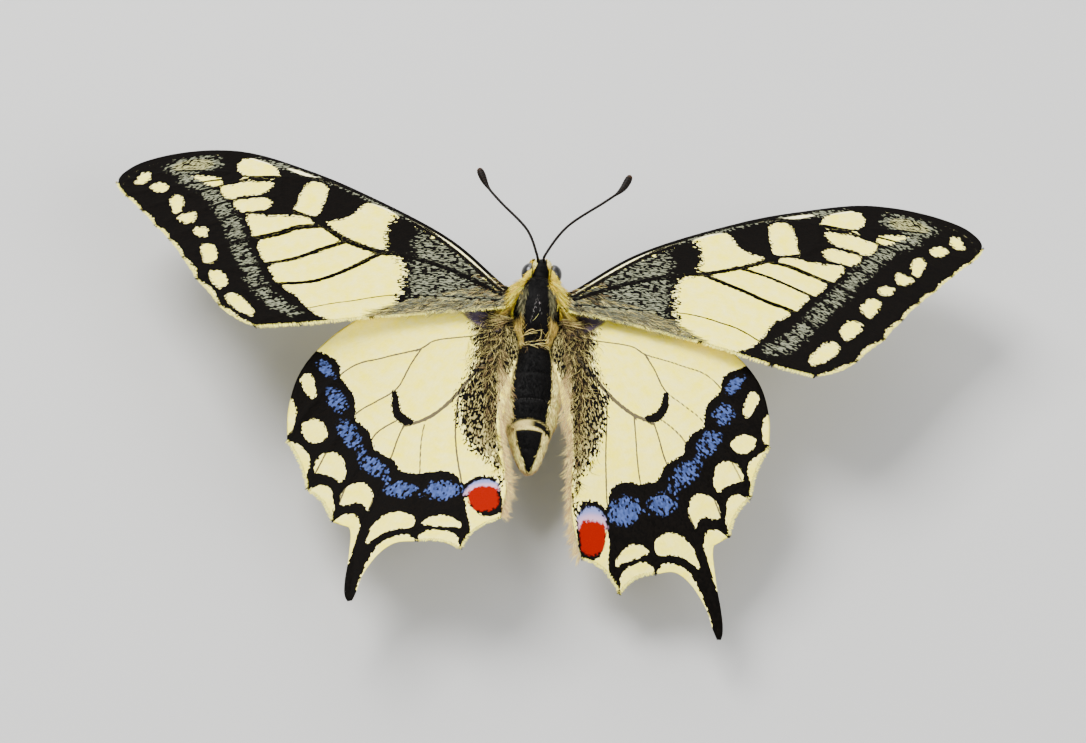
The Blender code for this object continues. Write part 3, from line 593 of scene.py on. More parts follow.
def build_wing(name, materials):
    """One wing: an upper and an under sheet over the same ruled grid, that meet in a thin rim.

    half thickness = rim half + (middle half - rim half) * sqrt(distance from the rim / reach), and more at veins.
    """
    kind = name[:4]
    pose = WING_POSES[name]
    plan = wing_grid(kind)
    place = pattern_place(plan, kind, pose.side)
    outline = np.concatenate([edge[:: 4 * way] for edge, way in zip(wing_edges(kind), (1, -1))])
    rim = np.abs(chain_distance(plan, outline, closed=True))
    side, near, gap = vein_values(place, VEINS[kind])
    sag = CELL_SAG * (1 - np.exp(-gap / CELL_SAG_REACH)) * smoothstep(0.0, 2.0, rim)
    half = RIM_HALF + (MEMBRANE_HALF - RIM_HALF) * np.sqrt(np.clip(rim / RIM_REACH, 0, 1))
    half = half + VEIN_RIDGE * np.exp(-((gap / VEIN_RIDGE_REACH) ** 2)) * smoothstep(0.0, 1.0, rim)
    middle = wing_surface(plan, pose, sag)
    up = wing_axes(plan, pose)[2] * half[:, None]
    quads = grid_quads(WING_ROWS, WING_COLUMNS)
    if pose.side > 0:
        quads = quads[:, ::-1]
    count = len(plan)
    border = np.ones((WING_ROWS, WING_COLUMNS), bool)
    border[1:-1, 1:-1] = False
    border = border.ravel()
    index = np.where(border, np.arange(count), count + np.cumsum(~border) - 1)
    upper = quads[:, ::-1]
    under = index[quads]
    inner = ~border
    points = np.concatenate([np.where(border[:, None], middle, middle + up), (middle - up)[inner]])
    values = PATTERNS[kind](place, plan)
    side = np.where(values.pop("veined"), side, VEIN_REACH)
    values.update(vein_side=np.clip(side, -VEIN_REACH, VEIN_REACH), vein_near=np.clip(near, 0, VEIN_REACH))
    values = {key: np.concatenate([data, data[inner]]) for key, data in values.items()}
    row, column = np.divmod(np.arange(count), WING_COLUMNS)
    share = np.stack([row / (WING_ROWS - 1), column / (WING_COLUMNS - 1)], axis=1)
    bake_upper = share * np.array((0.98, 0.48)) + 0.01
    bake_under = share * np.array((0.98, 0.48)) + np.array((0.01, 0.51))
    rows = row_map(kind, plan)
    uvs = {
        "OFBake": np.concatenate([bake_upper[upper].reshape(-1, 2), bake_under[quads].reshape(-1, 2)]),
        "Rows": np.concatenate([rows[upper].reshape(-1, 2), rows[quads].reshape(-1, 2)]),
    }
    slots = np.concatenate([np.zeros(len(upper)), np.ones(len(under))])
    piece = make_piece(f"{name}_scales", points, [upper, under], materials, values=values, uvs=uvs, slots=slots)
    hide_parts(name)


# ---------------------------------------------------------------- shader nodes

def linear(colour):
    """A display colour of three bytes as the linear shares that a shader takes."""
    share = np.array(colour, float) / 255
    return tuple(np.where(share <= 0.04045, share / 12.92, ((share + 0.055) / 1.055) ** 2.4).tolist())


class Signal:
    """A value on its way through a shader tree; arithmetic on it makes Math nodes."""

    def __init__(self, tree, socket):
        self.tree, self.socket = tree, socket

    def math(self, operation, *others):
        return node(self.tree, "ShaderNodeMath", *enumerate((self, *others)), operation=operation)[0]

    def __add__(self, other):
        return self.math("ADD", other)

    def __sub__(self, other):
        return self.math("SUBTRACT", other)

    def __rsub__(self, other):
        return self.math("MULTIPLY_ADD", -1.0, other)

    def __mul__(self, other):
        return self.math("MULTIPLY", other)


def feed(socket, value):
    """Link a signal to a socket, or set a number or a colour there."""
    if isinstance(value, Signal):
        value.tree.links.new(value.socket, socket)
    else:
        socket.default_value = (*value, 1.0) if socket.type == "RGBA" else value


def node(tree, kind, *links, **settings):
    """The outputs of a new shader node, by place and by name: links are (input, signal or value)."""
    made = tree.nodes.new(kind)
    for key, value in settings.items():
        setattr(made, key, value)
    for key, value in links:
        feed(made.inputs[key], value)
    return {key: Signal(tree, socket) for place, socket in enumerate(made.outputs) for key in (place, socket.name)}


def ramp(value, low, high):
    """0 below low, 1 above high, and smooth between them."""
    links = ("Value", value), ("From Min", low), ("From Max", high)
    return node(value.tree, "ShaderNodeMapRange", *links, interpolation_type="SMOOTHSTEP")[0]


def mix(share, first, second):
    """The mix of two colours."""
    return node(share.tree, "ShaderNodeMix", (0, share), (6, first), (7, second), data_type="RGBA")[2]


def shaded(colour, value, saturation=1.0):
    """A colour made lighter or darker by a value, and richer or duller by a saturation."""
    links = ("Color", colour), ("Saturation", saturation), ("Value", value)
    return node(value.tree, "ShaderNodeHueSaturation", *links)[0]


def attribute(tree, name, output="Fac"):
    """A mesh attribute, as a value or as a colour."""
    return node(tree, "ShaderNodeAttribute", attribute_name=name)[output]


def grain(tree, scale, detail=2.0, stretch=None):
    """Noise over a piece's own place, with so many spots to a metre; stretch is a further scale for each axis."""
    place = node(tree, "ShaderNodeTexCoord")["Object"]
    if stretch:
        place = node(tree, "ShaderNodeMapping", ("Vector", place), ("Scale", stretch))[0]
    return node(tree, "ShaderNodeTexNoise", ("Vector", place), ("Scale", scale), ("Detail", detail))[0]


def new_group(name, inputs, outputs):
    """An empty node group, its inputs as signals and its output sockets; both are given as {kind: names}."""
    group = bpy.data.node_groups.new(name, "ShaderNodeTree")
    for way, sockets in (("INPUT", inputs), ("OUTPUT", outputs)):
        for kind, names in sockets.items():
            for key in names:
                group.interface.new_socket(key, in_out=way, socket_type=f"NodeSocket{kind}")
    given = {socket.name: Signal(group, socket) for socket in group.nodes.new("NodeGroupInput").outputs}
    return group, given, group.nodes.new("NodeGroupOutput").inputs


def use_group(tree, name, *links):
    """The outputs of a node group placed in a tree."""
    return node(tree, "ShaderNodeGroup", *links, node_tree=bpy.data.node_groups[name])


def new_material(name, **settings):
    """A node material with its Principled shader's own constants set, and its tree."""
    material = bpy.data.materials.new(name)
    material.use_nodes = True
    shader = material.node_tree.nodes["Principled BSDF"]
    for key, value in settings.items():
        shader.inputs[key.replace("_", " ").title().replace("Ior", "IOR")].default_value = value
    return material, material.node_tree


def dress(tree, colour, rough=None, height=None, strength=0.5, depth=0.0):
    """Feed a material's shader: its colour, its roughness, and a bump of so many metres from a height."""
    shader = tree.nodes["Principled BSDF"].inputs
    feed(shader["Base Color"], colour)
    if rough is not None:
        feed(shader["Roughness"], rough)
    if height is not None:
        bump = node(tree, "ShaderNodeBump", ("Height", height), ("Strength", strength), ("Distance", depth))
        feed(shader["Normal"], bump[0])


SCALE_SIZE = 0.11
SCALE_STRETCH = (0.38, 1.1, 1.0)
SCALE_SIGNALS = ("Chance", "Second", "Third", "Cloud")
WING_SIGNALS = ("Light", "Dust", "Fray", "Blue", "Red", "Lilac", "Bare", "Vein Side", "Vein Near")
WING_TONES = ("Black", "Pale", "Dusting", "Azure", "Scarlet", "Mauve", "Vein")
DEEP_BLACK = (0.008, 0.006, 0.0045)
BARE_PURPLE = (0.085, 0.064, 0.092)
ROSE = (0.46, 0.27, 0.36)
# How far the pale parts of the under side reach over the black, and how much more dust it has
UNDER_PALE = 0.35


def scale_rows_group():
    """Wing scales: cells longer along the span than across it, each with its own chances and height."""
    group, given, end = new_group(
        "Scale Rows", {"Vector": ("Rows",), "Float": ("Size",)}, {"Float": (*SCALE_SIGNALS, "Height")}
    )
    density = node(group, "ShaderNodeMath", (0, 1.0), (1, given["Size"]), operation="DIVIDE")[0]
    spread = node(group, "ShaderNodeVectorMath", (0, given["Rows"]), (1, SCALE_STRETCH), operation="MULTIPLY")[0]
    links = ("Vector", spread), ("Scale", density), ("Randomness", 0.8)
    cells = node(group, "ShaderNodeTexVoronoi", *links, voronoi_dimensions="2D")
    chances = node(group, "ShaderNodeSeparateColor", (0, cells["Color"]))
    links = ("Vector", given["Rows"]), ("Scale", 0.9), ("Detail", 3.0), ("Roughness", 0.6)
    cloud = node(group, "ShaderNodeTexNoise", *links, noise_dimensions="2D")[0]
    for key, value in zip(SCALE_SIGNALS, (chances[0], chances[1], chances[2], cloud)):
        feed(end[key], value)
    feed(end["Height"], (1 - cells["Distance"]).math("MAXIMUM", 0.0))


def wing_colour_group():
    """Colour of a wing scale from the drawn pattern: black, dust, blue, pale, lilac and red, then the veins.

    Each border is a signed distance that the scale's own chance and a cloud move, so that it runs from scale
    to scale.
    """
    _, given, end = new_group(
        "Wing Colour",
        {"Float": (*WING_SIGNALS, *SCALE_SIGNALS, "Spread", "More Dust"), "Color": WING_TONES},
        {"Color": ("Color",), "Float": ("Pale Share",)},
    )
    chance, second, third, cloud = (given[key] for key in SCALE_SIGNALS)
    jitter = chance * 0.6 + cloud * 0.7 - 0.65
    pale = ramp(jitter * given["Fray"] * 1.6 + given["Light"] + given["Spread"], -0.012, 0.012)
    drift = (cloud - 0.5) * 1.4 + 1.0
    specks = ramp((given["Dust"] + given["More Dust"]) * drift - second, 0.0, 0.10)
    blues = ramp(given["Blue"] - third, 0.0, 0.22)
    dim = mix(third * 0.3, given["Black"], DEEP_BLACK)
    bright = mix(ramp(given["Dust"], 0.58, 0.7) * 0.2, given["Dusting"], given["Pale"])
    colour = mix(specks * (third * 0.45 + 0.55), dim, bright)
    colour = mix(blues * (second * 0.6 + 0.4), colour, given["Azure"])
    edge = ramp(given["Fray"], 0.07, 0.04).math("MAXIMUM", ramp(given["Light"], 0.15, 0.0) * 0.45)
    ground = shaded(given["Pale"], third * 0.07 + (cloud * 0.08 + 0.90), edge * -0.4 + (cloud * 0.5 + 0.8))
    colour = mix(pale, colour, ground)
    colour = mix(given["Bare"] * (cloud * 0.7 + 0.5), colour, BARE_PURPLE)
    moved = jitter * 0.4
    rosy = mix(ramp(given["Red"], -0.75, -0.1), given["Mauve"], ROSE)
    colour = mix(ramp(given["Lilac"] + moved, -0.12, 0.12), colour, rosy)
    red = ramp(given["Red"] + moved, -0.10, 0.14)
    colour = mix(red, colour, given["Scarlet"])
    across = given["Vein Side"].math("ABSOLUTE")
    line = (1 - ramp(chance * 0.6 + across, 1.8, 1.95)) * (1 - ramp(given["Vein Near"], 2.0, 3.0))
    line = line * pale.math("MAXIMUM", specks) * (1 - red)
    feed(end["Color"], mix(line, colour, given["Vein"]))
    feed(end["Pale Share"], pale.math("MAXIMUM", specks * 0.5))


def wing_material(name, kind, under, colours):
    """The scaled surface of one side of a wing; the under side is paler, with narrower black."""
    material, tree = new_material(name, specular_ior_level=0.01)
    place = node(tree, "ShaderNodeUVMap", uv_map="Rows")[0]
    rows = use_group(tree, "Scale Rows", ("Rows", place), ("Size", SCALE_SIZE))
    dusting, vein = ("dusting", "black") if kind == "fore" else ("soot_dust", "vein")
    tones = [getattr(colours, key) for key in ("black", "pale", dusting, "blue", "red", "lilac", vein)]
    painted = use_group(
        tree, "Wing Colour",
        *[(key, attribute(tree, key.lower().replace(" ", "_"))) for key in WING_SIGNALS],
        *[(key, rows[key]) for key in SCALE_SIGNALS],
        *zip(WING_TONES, tones), ("Spread", UNDER_PALE * under), ("More Dust", UNDER_PALE * under),
    )
    rough = painted["Pale Share"] * 0.22 + (rows["Third"] * 0.16 + 0.46)
    ridges = rows["Cloud"] * 0.8 + (rows["Chance"] * 0.4 + rows["Height"])
    dress(tree, painted["Color"], rough, ridges, 0.45, 0.00003)
    return material


# ---------------------------------------------------------------- body skin

# Stations of the skin under the coat: (forward, half width, half height, centre height, centre aside)
BODY = np.array((
    (5.85, 0.10, 0.12, 0.25, 0.23), (5.65, 0.62, 0.65, 0.27, 0.23), (5.1, 1.0, 1.08, 0.30, 0.23),
    (4.6, 1.02, 1.18, 0.30, 0.23), (4.1, 1.0, 1.1, 0.25, 0.22), (3.6, 0.92, 1.0, 0.20, 0.15),
    (3.2, 1.1, 1.2, 0.15, 0.08), (2.8, 1.6, 1.75, 0.12, 0.03), (2.1, 2.15, 2.3, 0.08, 0.0),
    (1.2, 2.45, 2.6, 0.03, 0.0), (0.0, 2.55, 2.7, 0.0, 0.03), (-1.2, 2.5, 2.62, -0.05, 0.06),
    (-2.4, 2.2, 2.32, -0.10, 0.1), (-3.6, 1.8, 1.9, -0.17, 0.12), (-4.4, 1.58, 1.62, -0.20, 0.12),
    (-5.0, 1.62, 1.52, -0.22, 0.12), (-6.0, 1.95, 1.72, -0.25, 0.13), (-7.5, 2.5, 2.0, -0.28, 0.16),
    (-9.5, 2.8, 2.15, -0.35, 0.16), (-11.5, 2.75, 2.08, -0.50, 0.14), (-13.5, 2.45, 1.85, -0.70, 0.14),
    (-15.5, 1.75, 1.45, -0.90, 0.22), (-17.0, 1.25, 1.1, -1.05, 0.31), (-17.9, 0.8, 0.72, -1.15, 0.37),
    (-18.3, 0.3, 0.3, -1.2, 0.40),
))
SEGMENT_RINGS = (-5.2, -8.3, -11.4, -13.5, -14.5, -16.4)
SEGMENT_DEPTH = 0.025
SKIN_ROWS = 280
SKIN_COLUMNS = 96
HEAD_BACK = 3.3
THORAX_END = -4.75
# The black band along the back: half width at each place
BAND = np.array((
    (-18.4, 0.15), (-18.1, 0.38), (-17.7, 0.52), (-16.0, 1.12), (-14.9, 1.3), (-13.5, 1.72), (-12.4, 1.75),
    (-10.5, 2.04), (-8.5, 1.9), (-6.6, 1.72), (-5.5, 1.62), (-4.7, 1.5), (-3.9, 1.3), (-3.0, 1.38), (-2.3, 1.42),
    (-1.3, 1.36), (-0.3, 1.19), (0.7, 1.08), (2.0, 0.96), (3.2, 0.87), (4.0, 0.8), (4.7, 0.66), (5.2, 0.52),
    (5.5, 0.45),
))
# Distance from the middle where the gold of the thorax starts, and where its other stripes end
GOLD_INNER = np.array((
    (-2.0, 2.6), (-1.3, 2.42), (-0.3, 2.15), (0.7, 1.76), (2.0, 0.98), (3.1, 0.88), (4.0, 0.88), (5.5, 0.5),
))
GREEN_END = 1.68
REAR_END = np.array(((-5.4, 1.3), (-4.7, 1.5), (-3.9, 1.85), (-3.0, 2.1), (-2.3, 2.35), (-1.5, 2.3)))
RIM_AT = -13.45
WEDGE_AT = -14.55


BODY_LINE = resampled(smooth_through(BODY, 0.12), 600)
LAST_STATION = len(BODY_LINE) - 1


def stations_at(at):
    """The five measures of the body at places along its line, counted in stations."""
    return np.stack([np.interp(at, np.arange(len(BODY_LINE)), column) for column in BODY_LINE.T], axis=-1)


def off_middle(points):
    """How far points lie to the side of the body's own middle."""
    return points[:, 0] - np.interp(points[:, 1], BODY[::-1, 0], BODY[::-1, 4])


def body_frame(share, angle):
    """Skin points and outward normals at shares of the way back and angles round (0 right, quarter turn up)."""
    at = share * LAST_STATION
    y, width, height, z, aside = np.moveaxis(stations_at(at), -1, 0)
    groove = sum(np.exp(-(((y - ring) / 0.16) ** 2)) for ring in SEGMENT_RINGS)
    size = 1 - SEGMENT_DEPTH * groove
    points = np.stack([aside + width * size * np.cos(angle), y, z + height * size * np.sin(angle)], axis=-1)
    near, far = (stations_at(np.clip(at + way, 0, LAST_STATION)) for way in (-1, 1))
    run = near - far
    slope = run[..., 1:3] / (run[..., :1] - 0.002)
    wide, high = np.maximum(width, 0.05), np.maximum(height, 0.05)
    back = -(slope[..., 0] * np.cos(angle) ** 2 / wide + slope[..., 1] * np.sin(angle) ** 2 / high)
    return points, unit(np.stack([np.cos(angle) / wide, back, np.sin(angle) / high], axis=-1))


def blended(colours, **shares):
    """A sum of shares of named colours."""
    return sum(share * np.array(getattr(colours, key)) for key, share in shares.items())


def blend_tints(colours, base, *layers):
    """Colours laid over one another, by name or as they are: each layer is (share of cover, colour)."""
    def tone(key):
        return np.array(getattr(colours, key) if isinstance(key, str) else key, float)
    made = np.broadcast_to(tone(base), (len(layers[0][0]), 3)).copy()
    for cover, key in layers:
        made = made * (1 - cover[:, None]) + tone(key) * cover[:, None]
    return made


def body_tint(points, up, chance, colours):
    """The body's colours: black back, golden collar, greenish and cream stripes, buff flanks, pale belly, and painted
    highlight streaks on the black back of the thorax.
    """
    y, aside = points[:, 1], off_middle(points)
    away = np.abs(aside)
    on_top = smoothstep(-0.05, 0.35, up)
    beside = away - np.interp(y, *BAND.T) + 0.22 * (chance - 0.5)
    on_head = smoothstep(3.2, 3.5, y)
    on_abdomen = 1 - smoothstep(-5.1, -4.7, y)
    on_thorax = (1 - on_head) * (1 - on_abdomen)
    before = smoothstep(-1.7, -1.4, y + 0.3 * (chance - 0.5))
    inner = np.interp(y, *GOLD_INNER.T) + 0.14 * (chance - 0.5)
    rear_end = np.interp(y, *REAR_END.T) + 0.2 * (chance - 0.5)
    gold = on_thorax * smoothstep(-0.3, 0.45, up) * smoothstep(-1.6, -1.2, y) * smoothstep(-0.05, 0.05, away - inner)
    oval = on_thorax * on_top * before * (1 - smoothstep(-0.05, 0.05, away - inner))
    green = oval * (1 - smoothstep(-0.06, 0.06, away - GREEN_END - 0.1 * (chance - 0.5))) * smoothstep(1.9, 1.3, y)
    rear = on_thorax * on_top * (1 - before) * (1 - smoothstep(-0.08, 0.08, away - rear_end))
    rim = y + 0.10 * away**2 - RIM_AT
    back = on_top * (1 - smoothstep(-0.08, 0.08, beside))
    back = back * (1 - (1 - smoothstep(-0.02, 0.05, rim)) * smoothstep(WEDGE_AT - 0.1, WEDGE_AT + 0.1, y))
    belly = 1 - on_top
    specks = (chance > 0.6) * (on_thorax * (1 - np.maximum(gold, on_top)) + (1 - on_top) * on_thorax * 0.5)
    line = on_abdomen * np.exp(-(((up + 0.28) / 0.10) ** 2)) * 0.7
    line = np.maximum(line, on_abdomen * (up < -0.5) * np.exp(-(((away - 0.75) / 0.22) ** 2)) * 0.8)
    cream = on_abdomen * on_top * (1 - smoothstep(0.7, 1.1, beside))
    right = smoothstep(-0.3, 0.6, aside)
    at_rim = on_abdomen * on_top * (1 - smoothstep(2.0, 2.4, away))
    dark_rim = at_rim * np.exp(-(((rim + 0.06) / 0.15) ** 2))
    crescent = at_rim * smoothstep(-0.12, -0.24, rim) * smoothstep(-0.85, -0.7, rim)
    ring = np.exp(-(((y + 11.4) / 0.05) ** 2)) * 0.5
    # Painted highlights: pale streaks in a V along the black back of the thorax, where its lying hair would shine
    painted_highlight = np.exp(-(((aside - 0.02 - 0.24 * y) / 0.10) ** 2)) * smoothstep(-2.7, -2.2, y) * smoothstep(0.5, 0.1, y)
    highlight_branch = np.exp(-(((aside - 0.1 + 0.22 * y) / 0.09) ** 2)) * smoothstep(-1.8, -1.5, y) * smoothstep(-0.2, -0.6, y)
    painted_highlight = np.maximum(painted_highlight * (chance > 0.5), highlight_branch * (chance > 0.62)) * on_thorax * on_top
    warm = blended(colours, gold=0.35, buff=0.25, green=0.25)
    highlight_tint = blended(colours, lilac=0.4, cream=0.2)
    face = on_head * (away < 0.42) * smoothstep(4.7, 5.3, y)
    side = on_thorax * (1 - before) * on_top * smoothstep(-0.05, 0.1, away - rear_end)
    return blend_tints(
        colours, "buff",
        (on_thorax, "flank"),
        (on_head, "gold"),
        (cream, "cream"),
        (gold, "gold"),
        (oval, "black"),
        (green * (0.35 + 0.65 * (chance < 0.75)), "green"),
        (rear * (0.25 + 0.75 * (chance < 0.8)), warm),
        (side * 0.75, "black"),
        (np.clip(line, 0, 1), "black"),
        (np.clip(specks, 0, 1) * 0.8, "black"),
        (back, "black"),
        (back * on_abdomen * ring, "eye_rim"),
        # The painted highlight streaks, laid over the black back
        (painted_highlight * 0.9, highlight_tint),
        (crescent * (1 - right) * (0.35 + 0.5 * (chance > 0.5)), "horn"),
        (np.maximum(dark_rim, crescent * right), "black"),
        (on_head * (1 - face) * smoothstep(4.55, 4.8, y) * (away > 0.5), "cream"),
        (np.clip(face, 0, 1) * 0.85 * belly, "black"),
    )


def closed_grid(rings, columns):
    """Faces of a closed loft: quads between its rings, and a fan to one point at each end, added after them."""
    quads = grid_quads(rings, columns, wrap=True)
    turn = np.arange(columns)
    ahead = (turn + 1) % columns
    first = np.full(columns, rings * columns)
    last = first + 1
    base = (rings - 1) * columns
    fans = np.concatenate([np.stack([first, ahead, turn], axis=1), np.stack([last, base + turn, base + ahead], axis=1)])
    return quads, fans


def with_ends(points, rings, columns):
    """Ring points with the middles of the first and the last ring after them."""
    grid = points.reshape(rings, columns, 3)
    return np.concatenate([points, grid[0].mean(axis=0)[None], grid[-1].mean(axis=0)[None]])


def closed_uv(rings, columns, quads, fans):
    """Map of a closed loft: along it on one axis and round it on the other, unbroken over the seam."""
    def spot(faces, wrapped):
        ring, turn = np.divmod(faces, columns)
        turn = np.where(wrapped & (turn == 0), columns, turn)
        ring = np.where(faces >= rings * columns, np.where(faces == rings * columns, 0, rings - 1), ring)
        turn = np.where(faces >= rings * columns, 0.5, turn)
        return np.stack([ring / (rings - 1), turn / columns], axis=-1) * 0.98 + 0.01
    wraps = (quads % columns == columns - 1).any(axis=1)[:, None]
    return np.concatenate([spot(quads, wraps).reshape(-1, 2), spot(fans, np.zeros((1, 1), bool)).reshape(-1, 2)])


def build_skin(colours):
    """One skin over head, thorax and abdomen: ellipses along the body, drawn in at each abdomen ring."""
    share = np.repeat(np.linspace(0.0, 1.0, SKIN_ROWS), SKIN_COLUMNS)
    angle = np.tile(np.arange(SKIN_COLUMNS) * 2 * math.pi / SKIN_COLUMNS, SKIN_ROWS)
    points, normals = body_frame(share, angle)
    points = with_ends(points, SKIN_ROWS, SKIN_COLUMNS)
    up = np.concatenate([normals[:, 2], [0.0, 0.0]])
    quads, fans = closed_grid(SKIN_ROWS, SKIN_COLUMNS)
    tint = body_tint(points, up, np.full(len(points), 0.5), colours)
    uvs = {"OFBake": closed_uv(SKIN_ROWS, SKIN_COLUMNS, quads, fans)}
    piece = make_piece(
        "body_skin", points, [quads, fans], [skin_material("body_skin")], colours={"tint": tint}, uvs=uvs
    )
    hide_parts("head", "thorax", "abdomen")


# ---------------------------------------------------------------- tufts

# How long the coat is at each place along the body
COAT_LENGTH = (
    (-18, 0.45), (-15, 0.7), (-12, 0.85), (-6, 0.95), (-4, 1.2), (-2, 1.1), (2.5, 1.1), (3.6, 0.7), (4.6, 0.5),
    (5.8, 0.4),
)
# Rings of a tuft: how far along it they lie, and their widths
TUFT_RINGS = np.array((0.0, 0.4, 0.75))
TUFT_TAPER = np.array((0.75, 1.0, 0.62))
BAKE_PATCH = 0.0015


def tuft_mesh(roots, along, normals, length, width, lift, sag, bend):
    """Three-sided vanes: root + along*L*t + normal*L*(lift*t - sag*t*t) + aside*L*bend*t*t, drawn to a point."""
    aside = unit(np.cross(along, normals))
    t = np.append(TUFT_RINGS, 1.0)[None, :, None]
    reach = length[:, None, None]
    spine = roots[:, None] + along[:, None] * reach * t
    spine = spine + normals[:, None] * reach * (lift[:, None, None] * t - sag[:, None, None] * t**2)
    spine = spine + aside[:, None] * reach * bend[:, None, None] * t**2
    half = width[:, None] * TUFT_TAPER[None] / 2
    corners = np.stack([
        spine[:, :3] - aside[:, None] * half[..., None],
        spine[:, :3] + normals[:, None] * half[..., None] * 0.55,
        spine[:, :3] + aside[:, None] * half[..., None],
    ], axis=2)
    points = np.concatenate([corners.reshape(len(roots), 9, 3), spine[:, 3:]], axis=1)
    ahead = (1, 2, 0)
    quads = np.array([(r + i, r + ahead[i], r + 3 + ahead[i], r + 3 + i) for r in (0, 3) for i in range(3)])
    fans = np.array([(6, 7, 9), (7, 8, 9), (8, 6, 9), (0, 2, 1)])
    base = np.arange(len(roots))[:, None, None] * 10
    return points.reshape(-1, 3), [(quads[None] + base).reshape(-1, 4), (fans[None] + base).reshape(-1, 3)]


def tuft_uv(places, faces):
    """Each tuft's patch of the map: a small square round its root's place, along and across the tuft."""
    local = np.array([(i / 3 * 2 - 1, j - 1) for i in range(3) for j in range(3)] + [(1.0, 0.0)]) * BAKE_PATCH
    corners = np.clip(places[:, None] * 0.98 + 0.01 + local[None], 0.0, 1.0).reshape(-1, 2)
    return np.concatenate([corners[f.ravel()] for f in faces])


TuftSet = namedtuple("TuftSet", "places roots along normals tint length width lift sag bend")


def build_tufts(name, sets):
    """One piece of coat from sets of tufts, each with its place on the map, its root and its shape."""
    places, roots, along, normals, tint, *shape = (np.concatenate(parts) for parts in zip(*sets))
    points, faces = tuft_mesh(roots, along, normals, *shape)
    # Painted shade: each tuft is darkest at its root, where the coat shades it, and lightest at its tip
    shade = np.append(np.repeat((0.62, 0.92, 1.05), 3), 1.12)
    colours = (tint[:, None] * shade[None, :, None]).reshape(-1, 3)
    piece = make_piece(
        name, points, faces, [fur_material(name)], colours={"tint": colours}, uvs={"OFBake": tuft_uv(places, faces)}
    )


def skin_roots(rng, count, front, back):
    """Seeded places on the skin between two points along it, evenly over its area."""
    y, width, height = BODY_LINE.T[:3]
    chance = np.where((y <= front) & (y >= back), width + height + 0.1, 0)
    at = rng.choice(len(BODY_LINE), count, p=chance / chance.sum()) + rng.uniform(-0.5, 0.5, count)
    return np.clip(at / LAST_STATION, 0, 1), rng.uniform(0, 2 * math.pi, count)


def outside_eyes(points):
    """Which points lie clear of both eyes."""
    clear = np.ones(len(points), bool)
    for side in (-1, 1):
        centre = np.array((HEAD_ASIDE + side * EYE_BASE[0], EYE_BASE[1], EYE_BASE[2]))
        clear &= (((points - centre) / np.array((EYE_BULGE, EYE_RADIUS, EYE_RADIUS))) ** 2).sum(axis=1) > 1
    return clear


def flattened(lie, normals, share=1.0):
    """Unit directions laid down into a surface: wholly, or by a share."""
    return unit(lie - share * (lie * normals).sum(axis=1)[:, None] * normals)


def body_lie(points, normals):
    """The way the coat lies: back, and out to the wing bases on the front of the thorax, down on the flanks."""
    x, y = points[:, 0], points[:, 1]
    side = np.sign(x - 0.1)
    out = side * np.interp(y, (-4.5, -1.0, 1.0, 3.0, 4.5, 5.6), (0.08, 0.25, 0.75, 0.75, 0.5, 0.3))
    out = out * smoothstep(0.3, 1.2, np.abs(x))
    back = np.where(y > 5.0, 0.6, -1.0)
    down = -0.55 * (1 - smoothstep(-0.2, 0.6, normals[:, 2]))
    lie = np.stack([out, back, down], axis=1)
    return flattened(lie, normals)


def turned(vectors, normals, angle):
    """Vectors in the surface turned about its normals."""
    return vectors * np.cos(angle)[:, None] + np.cross(normals, vectors) * np.sin(angle)[:, None]


def locks(rng, places, size):
    """The number of the lock that each place belongs to: cells of a ragged grid."""
    cells = np.floor((places + rng.normal(0, size * 0.3, places.shape)) / size)
    return np.unique(cells, axis=0, return_inverse=True)[1].reshape(-1)


def by_lock(rng, lock, spread):
    """One random turn or bend for all the hairs of a lock."""
    return rng.normal(0, spread, lock.max() + 1)[lock]


def ragged(rng, lock, by_locks, by_hairs):
    """Random turns or bends: a spread from lock to lock, and one from hair to hair."""
    return by_lock(rng, lock, by_locks) + rng.normal(0, by_hairs, len(lock))


def streaked(rng, tint, points, size, spread, least):
    """Colours made darker or lighter from lock to lock."""
    return tint * np.clip(1 + by_lock(rng, locks(rng, points, size), spread), least, 1.4)[:, None]


def body_tufts(rng, spots, along, tint, length, width, lift, bend):
    """A set of tufts on the skin from (share, angle, points, normals) of their places."""
    share, angle, points, normals = spots
    count = len(share)
    strand = by_lock(rng, locks(rng, points, 0.16), 0.22)[:, None] + rng.normal(0, 0.18, (count, 1))
    tint = tint * np.clip(1 + strand, 0.25, 1.7) * (1 + rng.normal(0, 0.04, (count, 3)))
    places = np.stack([share, (angle / (2 * math.pi)) % 1.0], axis=1)
    return TuftSet(
        places, points - normals * 0.03, along, normals, np.clip(tint, 0.002, 1), length, width, lift, lift * 0.55, bend
    )


def spots_where(rng, count, front, back, test):
    """Places on the skin between two points along it that pass a test of (points, normals)."""
    share, angle = skin_roots(rng, count, front, back)
    points, normals = body_frame(share, angle)
    keep = test(points, normals)
    return [a[keep] for a in (share, angle, points, normals)]


def stretched_map(coats):
    """The tufts' places stretched over the whole map."""
    places = np.concatenate([coat.places for coat in coats])
    low, high = places.min(axis=0), places.max(axis=0)
    return [coat._replace(places=(coat.places - low) / (high - low)) for coat in coats]


# The coat of each part of the body: its front and back end along the body, and the seed of its tufts
COATS = {"head": (5.85, HEAD_BACK - 0.15, 21), "thorax": (HEAD_BACK, THORAX_END, 22), "abdomen": (THORAX_END, -18.3, 23)}


